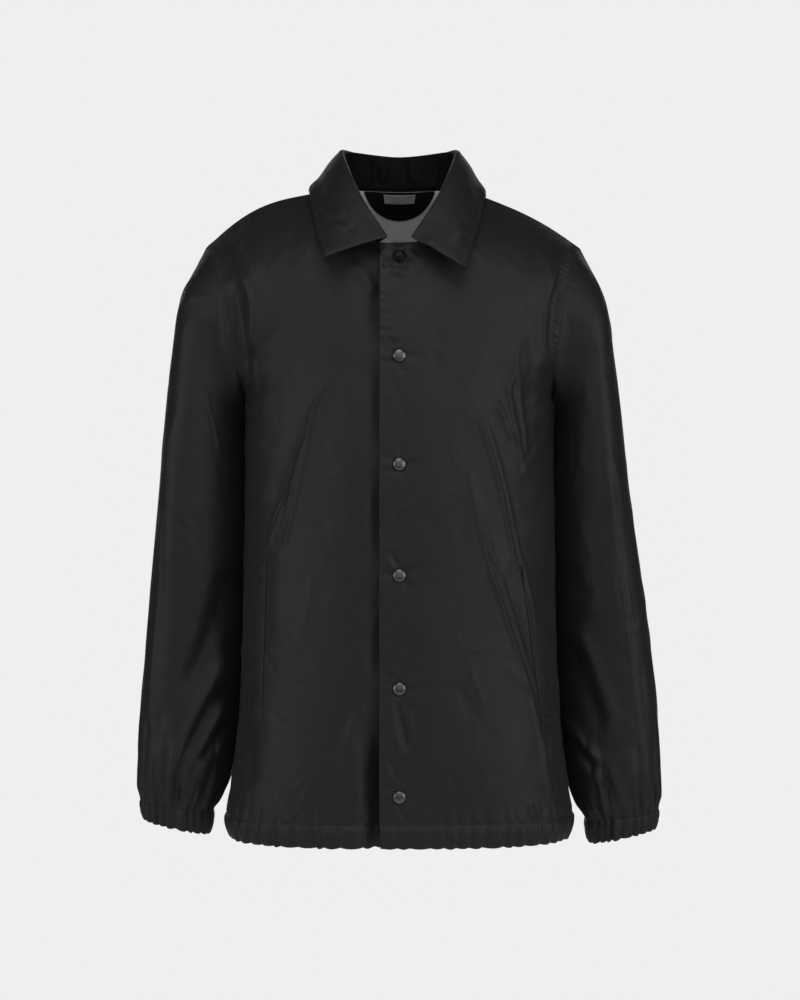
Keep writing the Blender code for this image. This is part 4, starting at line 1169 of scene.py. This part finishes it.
def add_node(tree, kind, output, inputs, **settings):
    """The output of a new node."""
    node = tree.nodes.new("ShaderNode" + kind)
    for name, value in settings.items():
        setattr(node, name, value)
    fill(tree, node, inputs)
    return node.outputs[output]


def add_noise(tree, place, scale, detail, distortion=0.0):
    inputs = {"Vector": place, "Scale": scale, "Detail": detail, "Distortion": distortion}
    return add_node(tree, "TexNoise", "Fac", inputs)


def spread(tree, value, low, high):
    """A value from 0 to 1 spread between two others."""
    return add_node(tree, "MapRange", "Result", {"Value": value, "To Min": low, "To Max": high})


def product(tree, first, second):
    return add_node(tree, "Math", "Value", {0: first, 1: second}, operation="MULTIPLY")


def add_bump(tree, height, distance, strength=1.0, **below):
    inputs = {"Height": height, "Distance": distance, "Strength": strength, **below}
    return add_node(tree, "Bump", "Normal", inputs)


def new_material(name, colour, roughness, metallic=0.0):
    made = bpy.data.materials.new(name)
    made.use_nodes = True
    tree = made.node_tree
    shader = tree.nodes["Principled BSDF"]
    fill(tree, shader, {"Base Color": (*colour, 1.0), "Roughness": roughness, "Metallic": metallic})
    return made, tree, shader


def woven(name, colour, roughness, pitch, sheen, specular, tone=0.12, crinkle=0.00022, waves=0.0):
    """Plain-weave cloth: crossing yarns, a faint crinkle and an uneven tone, on the cloth's own metres."""
    made, tree, shader = new_material(name, colour, roughness)
    place = add_node(tree, "UVMap", "UV", {}, uv_map="cloth")
    bands = {"Vector": place, "Scale": math.pi / 10 / pitch}
    bands.update({"Distortion": 0.6, "Detail": 1.0, "Detail Scale": 0.4})
    yarns = [add_node(tree, "TexWave", "Fac", bands, bands_direction=way) for way in ("X", "Y")]
    weave = product(tree, *yarns)
    crinkles = add_noise(tree, place, 160.0, 3.0)
    clouds = add_noise(tree, place, 14.0, 4.0)
    shade = product(tree, spread(tree, clouds, 1 - tone, 1 + tone), spread(tree, weave, 0.90, 1.10))
    tint = add_node(tree, "VectorMath", "Vector", {0: colour, "Scale": shade}, operation="SCALE")
    below = {}
    if waves:
        spot = add_node(tree, "TexCoord", "Object", {})
        rumple = add_noise(tree, spot, 30.0, 2.0, 0.8)
        below["Normal"] = add_bump(tree, rumple, waves)
    crease = add_bump(tree, crinkles, crinkle, **below)
    looks = {
        "Base Color": tint,
        "Roughness": spread(tree, clouds, roughness - 0.05, roughness + 0.05),
        "Specular IOR Level": specular,
        "Sheen Weight": sheen,
        "Sheen Roughness": 0.45,
        "Normal": add_bump(tree, weave, pitch * 0.12, 0.35, Normal=crease),
    }
    fill(tree, shader, looks)
    return made


def metal(name, colour, roughness):
    """Dark plated metal with faint scuffs."""
    made, tree, shader = new_material(name, colour, roughness, 1.0)
    scuff = add_noise(tree, add_node(tree, "TexCoord", "Object", {}), 700.0, 4.0)
    gloss = spread(tree, scuff, roughness - 0.08, roughness + 0.12)
    fill(tree, shader, {"Roughness": gloss, "Normal": add_bump(tree, scuff, 0.00004, 0.3)})
    return made


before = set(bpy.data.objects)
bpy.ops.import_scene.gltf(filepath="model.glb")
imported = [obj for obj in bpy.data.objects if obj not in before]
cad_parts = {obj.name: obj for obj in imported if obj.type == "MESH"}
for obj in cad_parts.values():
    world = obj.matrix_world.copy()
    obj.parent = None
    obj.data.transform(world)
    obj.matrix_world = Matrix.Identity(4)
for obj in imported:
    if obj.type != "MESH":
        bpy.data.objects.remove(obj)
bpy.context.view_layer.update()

# Cloth by colour, roughness, yarn pitch, sheen, specular, tone, crinkle and waves; metal by the first two
NYLON_PITCH = 0.00045
NYLON_CRINKLE = 0.00008
shell = woven(
    "shell_nylon_look", (0.0142, 0.0142, 0.0151), 0.55, NYLON_PITCH, 0.04, 0.35, 0.10, NYLON_CRINKLE, 0.0016
)
# A darker black for the inside of the collar stand and the neck facing: painted shade for the shadow they
# lie in
painted_shade_cloth = woven(
    "shell_painted_shade_look", (0.0042, 0.0042, 0.0046), 0.72, NYLON_PITCH, 0.0, 0.12, 0.08, NYLON_CRINKLE
)
grey_cloth = woven("lining_look", (0.620, 0.620, 0.630), 0.50, 0.0005, 0.15, 0.4)
ribbon = woven("label_look", (0.300, 0.300, 0.306), 0.40, 0.0004, 0.20, 0.5, 0.05)
sewing = woven("thread_look", (0.030, 0.030, 0.032), 0.50, 0.0003, 0.10, 0.4)
gunmetal = metal("snap_metal_look", (0.150, 0.150, 0.156), 0.30)
# Darker metal as painted shade: the shadow ring round each snap, and all of the top snap
painted_shade_metal = metal("snap_rim_look", (0.016, 0.016, 0.017), 0.40)

# Panels and sleeves
fronts = {}
halves = {}
sleeves = {}
for side in SIDES:
    front = front_half(side)
    halves[side] = back_half(side)
    fronts[side] = Cloth("front_" + side, on_side(front, side))
    sleeve = sleeve_half(side, front[LOWER_ROWS:, -1], halves[side][LOWER_ROWS:, -1])
    sleeves[side] = Cloth("sleeve_" + side, on_side(sleeve, side, True), closed=True)
back = Cloth("back", np.concatenate([halves["left"][:, ::-1], halves["right"][:, 1:] * MIRROR], axis=1))
over_front = fronts["left"]
panels = [over_front, fronts["right"], back]

# Folds and creases
for seed, cloth in enumerate(panels + list(sleeves.values())):
    far = cloth.fade(**FADES[cloth.name])
    near = cloth.fade(**{edge: CREASE_FADE for edge in FADES[cloth.name]})
    fine = cloth.fold_heights(CREASES) * near
    fine += cloth.crumple_heights(seed) * far
    if cloth.closed:
        over = cloth.measured()[0]
        fine *= ramp(over, 0.0, INNER_LINE_FADE) * ramp(over[:, -1:] - over, 0.0, INNER_LINE_FADE)
    cloth.push(cloth.fold_heights(FOLDS) * far + fine)
tuck_under(fronts["right"])

# Puckers above the hem seam, which its casings take up by the same seeds, and along the front edge
for cloth, seed in zip(panels, HEM_SEEDS):
    over, up = cloth.measured()
    wave = uneven_wave(over[0], HEM_PUCKER_PITCH, seed)
    height = HEM_SEAM_PUCKER * wave * bell(up, 0, HEM_SEAM_REACH) * ramp(up, 0.0, 0.005)
    cloth.push(height * cloth.fade(start=HEM_END_FADE, end=HEM_END_FADE))
over, up = over_front.measured()
wave = uneven_wave(up[:, 0], EDGE_PUCKER_PITCH, EDGE_SEED)[:, None]
strength = EDGE_LEAST + EDGE_MORE * bell(over_front.grid[..., 2], EDGE_MORE_Z, EDGE_MORE_REACH)
height = EDGE_PUCKER * wave * strength * bell(over, 0, EDGE_PUCKER_REACH)
over_front.push(height * over_front.fade(low=0.02, high=0.02))

# Puckers along the armhole's two rows of sewing
for seed, (side, cloth) in enumerate(fronts.items()):
    over, up = cloth.measured()
    last = -1 if side == "left" else 0
    from_seam = np.abs(over - over[:, last, None])
    wave = uneven_wave(up[:, last], ARMHOLE_PUCKER_PITCH, ARMHOLE_SEED + seed)[:, None]
    upper = ramp(np.arange(len(over)), LOWER_ROWS, LOWER_ROWS + 14)[:, None]
    near = bell(from_seam, ARMHOLE_PUCKER_IN, ARMHOLE_PUCKER_REACH)
    cloth.push(ARMHOLE_PUCKERS[side] * wave * upper * near)

# Dimples and rays round the snaps, the rays turned by the snap's height so that no two look alike
snap_places = []
for height in SNAP_HEIGHTS:
    row, column = over_front.place_of(0.0, height)
    snap_places.append((row, column))
    offset = over_front.grid - over_front.at(row, column)
    far = np.linalg.norm(offset, axis=-1)
    turn = np.arctan2(offset[..., 2], offset[..., 0])
    spokes = np.sin(5 * turn + 9 * height * 100) + 0.6 * np.sin(3 * turn + 40 * height)
    dip = -DIMPLE_DEPTH * bell(far, 0, DIMPLE_REACH)
    rays = RAY_HEIGHT * spokes * bell(far, RAY_DISTANCE, RAY_REACH)
    over_front.push((dip + rays) * over_front.fade(high=0.006))

# Cuffs and hem casings
cuffs = []
for side, sleeve in sleeves.items():
    end_row = on_side(sleeve.grid[:1], side, True)[0]
    cuff = Cloth("cuff_" + side, on_side(cuff_half(side, end_row), side, True), closed=True)
    cuff.turn_under(CASING_EDGE_RADIUS, CUFF_TURNED_ROWS)
    cuffs.append(cuff)
hems = [hem_casing("hem_" + cloth.name, cloth, seed) for cloth, seed in zip(panels, HEM_SEEDS)]
for hem in hems:
    hem.turn_under(CASING_EDGE_RADIUS, HEM_TURNED_ROWS)

# Collar
first_neck_row = LOWER_ROWS + CENTRE_ROWS + STRIP_ROWS
left_neck = over_front.grid[first_neck_row:, 0]
right_neck = fronts["right"].grid[first_neck_row:, -1]
middle = back.grid.shape[1] // 2
back_neck = back.grid[-1, middle - BACK_NECK_COLUMNS : middle + BACK_NECK_COLUMNS + 1]
neck = np.concatenate([left_neck[:-1], back_neck, right_neck[::-1][1:]])
collar = Cloth("collar", collar_rows(neck, panels)[:, ::-1])
over, up = collar.measured()
wave = uneven_wave(over[-1], COLLAR_PUCKER_PITCH, COLLAR_PUCKER_SEED)
pucker = COLLAR_PUCKER * wave * bell(up[-1:] - up, COLLAR_PUCKER_IN, COLLAR_PUCKER_REACH)
height = pucker + collar.fold_heights(CREASES) + collar.crumple_heights(COLLAR_CRUMPLE_SEED)
collar.push(height * ramp(up, 0.0, 0.010))

# Welts, each from the points of the front that it lies on
welts = {}
tall, wide = WELT_CELLS
down = np.linspace(0, 1, tall + 1)
across = np.linspace(0, 1, wide + 1)
stations = np.linspace(0, 1, WELT_STATIONS)
lanes = np.linspace(-0.5, 0.5, WELT_LANES)
for side, size in POCKETS.items():
    bottom = np.array(size["bottom"])
    cells = []
    for share in stations:
        x, z = bottom * (1 - share) + np.array(size["top"]) * share
        cells.append([fronts[side].place_of(x + lane * WELT_WIDTH, z) for lane in lanes])
    cells = np.moveaxis(smooth(stations, np.array(cells), down), 1, 0)
    cells = np.moveaxis(smooth(np.arange(WELT_LANES), cells, (WELT_LANES - 1) * across), 0, 1)
    pillow = WELT_PILLOW * np.sin(np.pi * across) * np.sin(np.pi * down[:, None]) ** 0.3
    wave = uneven_wave(down[:, None] * WELT_LENGTH, WELT_PUCKER_PITCH, WELT_SEED)
    lift = LAY_GAP + pillow * (1 + WELT_PUCKER * wave)
    welts[side] = Cloth("pocket_welt_" + side, fronts[side].at(cells[..., 0], cells[..., 1], lift))

# Lining, facing and label, laid in turn inside the back
rows = back.grid.shape[0]
row_height = np.linalg.norm(back.grid[-1, middle] - back.grid[-9, middle]) / 8
half = abs(back.place_of(FACING_HALF_WIDTH, 0.0)[1] - middle)
step = WALL / 2 + LINING_GAP + THIN_WALL / 2
layer = THIN_WALL + LAY_GAP
tall, wide = LINING_GRID
reach = np.linspace(-1, 1, wide) * (BACK_NECK_COLUMNS + BACK_COLUMNS * LINING_SHARE)
row, column = np.meshgrid(np.linspace(LOWER_ROWS, rows - 2, tall), middle + reach, indexing="ij")
lining = Cloth("back_lining", back.at(row, column, np.full(row.shape, -step)))
inside_edges = lining.fade(*[LINING_FADE] * 4)
lining.push(lining.crumple_heights(LINING_CRUMPLE_SEED) * inside_edges - LINING_SINK)
tall, wide = FACING_GRID
across = np.linspace(-1, 1, wide)
top_row = rows - 2.0
depth = FACING_DEPTH / row_height * np.sqrt(np.maximum(1 - across**2, 0.015))
row = top_row - np.linspace(1, 0, tall)[:, None] * depth
column = np.broadcast_to(middle + across * half, row.shape)
facing = Cloth("neck_facing", back.at(row, column, np.full(row.shape, -step - layer)))
tall, wide = LABEL_GRID
high = top_row - LABEL_DROP / row_height
low = high - LABEL_SIZE[1] / row_height
reach = np.linspace(-1, 1, wide) * half * LABEL_SIZE[0] / 2 / FACING_HALF_WIDTH
row, column = np.meshgrid(np.linspace(low, high, tall), middle + reach, indexing="ij")
wave = LABEL_WAVE * np.sin(np.linspace(0, 9, wide)) * np.sin(np.linspace(0, np.pi, tall))[:, None]
label = Cloth("neck_label", back.at(row, column, -step - 2 * layer - LABEL_LIFT + wave))

# Sewing: round the collar's edge, along and across the welts' ends, above the hem and at the armholes
threads = {name: Thread() for name in ("front_left", "front_right", "back", "collar")}
over, up = collar.measured()
tall, wide = (count - 1 for count in collar.grid.shape[:2])
columns = np.arange(wide + 1)
lift = COLLAR_WALL / 2 + COLLAR_STITCH_LIFT
edge_rows = [np.interp(up[-1, c] - COLLAR_STITCH_IN, up[:, c], np.arange(tall + 1)) for c in columns]
inset = np.interp(COLLAR_STITCH_IN, over[-1], columns)
lane = np.linspace(inset, wide - inset, LINE_POINTS["collar"])
threads["collar"].sew(collar, np.interp(lane, columns, edge_rows), lane, lift)
for column in (inset, wide - inset):
    run = np.linspace(COLLAR_STITCH_ROW, edge_rows[int(column)], LINE_POINTS["collar_end"])
    threads["collar"].sew(collar, run, np.full(len(run), column), lift)
for side, welt in welts.items():
    thread = threads["front_" + side]
    tall, wide = WELT_CELLS
    run = np.linspace(2, tall - 2, LINE_POINTS["welt"])
    for column in (WELT_STITCH_CELLS_IN, wide - WELT_STITCH_CELLS_IN):
        thread.sew(welt, run, np.full(len(run), column), WELT_STITCH_LIFT)
    lane = np.clip(np.linspace(-0.5, wide + 0.5, LINE_POINTS["bar_tack"]), 0, wide)
    for row in (BAR_TACK_CELLS_IN, tall - BAR_TACK_CELLS_IN):
        for offset in np.linspace(*BAR_TACK_LINES):
            thread.sew(welt, np.full(len(lane), row + offset), lane, **BAR_TACK)
for cloth in panels:
    up = cloth.measured()[1]
    count = cloth.grid.shape[1] - 1
    row = np.interp(HEM_STITCH_UP, up[:, count // 2], np.arange(len(up)))
    lane = np.linspace(0, count, LINE_POINTS["hem"])
    threads[cloth.name].sew(cloth, np.full(len(lane), row), lane)
for side, cloth in fronts.items():
    over = cloth.measured()[0]
    from_side = over[:, -1:] - over if side == "left" else over
    columns = np.arange(cloth.grid.shape[1])
    run = np.linspace(LOWER_ROWS, cloth.grid.shape[0] - 1, LINE_POINTS["armhole"])
    for inset in ARMHOLE_STITCHES_IN:
        lane = []
        for line in from_side[run.astype(int)]:
            order = np.argsort(line)
            lane.append(np.interp(inset, line[order], columns[order]))
        threads[cloth.name].sew(cloth, run, np.array(lane))

# Show the pieces. The inside of the collar's stand, which lies in shadow, gets a darker cloth colour as
# painted shade
over_front.turn_under(EDGE_RADIUS, EDGE_TURNED_COLUMNS, axis=1)
shown = {}
for cloth in panels + list(sleeves.values()) + cuffs + hems:
    shown[cloth.name] = add_shell(cloth, shell)
shown["collar"] = add_walled(collar, COLLAR_WALL, shell)
stand = shown["collar"].data
stand.materials.append(painted_shade_cloth)
tall, wide = (count - 1 for count in collar.grid.shape[:2])
slots = np.zeros(len(stand.polygons), np.int32)
slots[: 2 * tall * wide] = np.arange(2 * tall * wide) % (tall * wide) // wide < COLLAR_PAINTED_SHADE_ROWS
stand.polygons.foreach_set("material_index", slots)
for cloth in welts.values():
    shown[cloth.name] = add_walled(cloth, WELT_WALL, shell)
shown["back_lining"] = add_walled(lining, THIN_WALL, grey_cloth)
# The neck facing takes the same darker cloth, as painted shade
shown["neck_facing"] = add_walled(facing, THIN_WALL, painted_shade_cloth)
shown["neck_label"] = add_walled(label, LABEL_WALL, ribbon)
sewn_on = {name: thread.add(name + "_stitches", sewing) for name, thread in threads.items()}
for index, (row, column) in enumerate(snap_places):
    add_snap(index, over_front, row, column + EDGE_TURNED_COLUMNS + len(TURN_ANGLES))

# Floor, light and camera
FLOOR_Z = -1.45
FLOOR_HALF = 2.2
FLOOR_COLOUR = (0.80, 0.80, 0.80)
FLOOR_GLOW = 0.06
BACKDROP = (0.863, 0.863, 0.863, 1.0)
CAMERA_LENS = 81.7
CAMERA_SENSOR = 36.0
CAMERA_PLACE = (0.0006, -2.6, -0.355)

# Lamps that face the jacket: name, place, size and power
LIGHTS = (
    ("front", (0.2, -3.4, 0.6), 3.2, 15.0),
    ("front_left", (-2.90, -1.75, 0.2), 2.6, 34.0),
    ("front_right", (2.80, -1.90, 0.3), 2.6, 39.0),
    ("top", (0.0, -1.5, 2.1), 2.2, 24.0),
    ("behind", (0.0, 3.4, 0.3), 3.0, 55.0),
)
LIGHT_AIM = Vector((0, 0, -0.36))

floor_mesh = bpy.data.meshes.new("floor")
corners = [(x * FLOOR_HALF, y * FLOOR_HALF, FLOOR_Z) for x, y in ((-1, -1), (1, -1), (1, 1), (-1, 1))]
floor_mesh.from_pydata(corners, [], [(0, 1, 2, 3)])
floor = bpy.data.objects.new("floor", floor_mesh)
bpy.context.scene.collection.objects.link(floor)
pale, tree, shader = new_material("floor_pale", FLOOR_COLOUR, 0.8)
fill(tree, shader, {"Emission Color": (1.0, 1.0, 1.0, 1.0), "Emission Strength": FLOOR_GLOW})
floor_mesh.materials.append(pale)

world = bpy.data.worlds.new("studio")
bpy.context.scene.world = world
world.use_nodes = True
world.node_tree.nodes["Background"].inputs["Color"].default_value = BACKDROP
world.cycles_visibility.diffuse = False
world.cycles_visibility.glossy = False

for name, place, size, power in LIGHTS:
    data = bpy.data.lights.new(name, "AREA")
    data.size = size
    data.energy = power
    lamp = bpy.data.objects.new(name, data)
    lamp.location = place
    lamp.rotation_euler = (LIGHT_AIM - Vector(place)).to_track_quat("-Z", "Y").to_euler()
    lamp.visible_camera = False
    bpy.context.scene.collection.objects.link(lamp)

camera_data = bpy.data.cameras.new("camera")
camera_data.lens = CAMERA_LENS
camera_data.sensor_width = CAMERA_SENSOR
camera = bpy.data.objects.new("camera", camera_data)
camera.location = CAMERA_PLACE
camera.rotation_euler = (math.pi / 2, 0, 0)
bpy.context.scene.collection.objects.link(camera)
bpy.context.scene.camera = camera
bpy.context.scene.view_settings.view_transform = "Standard"
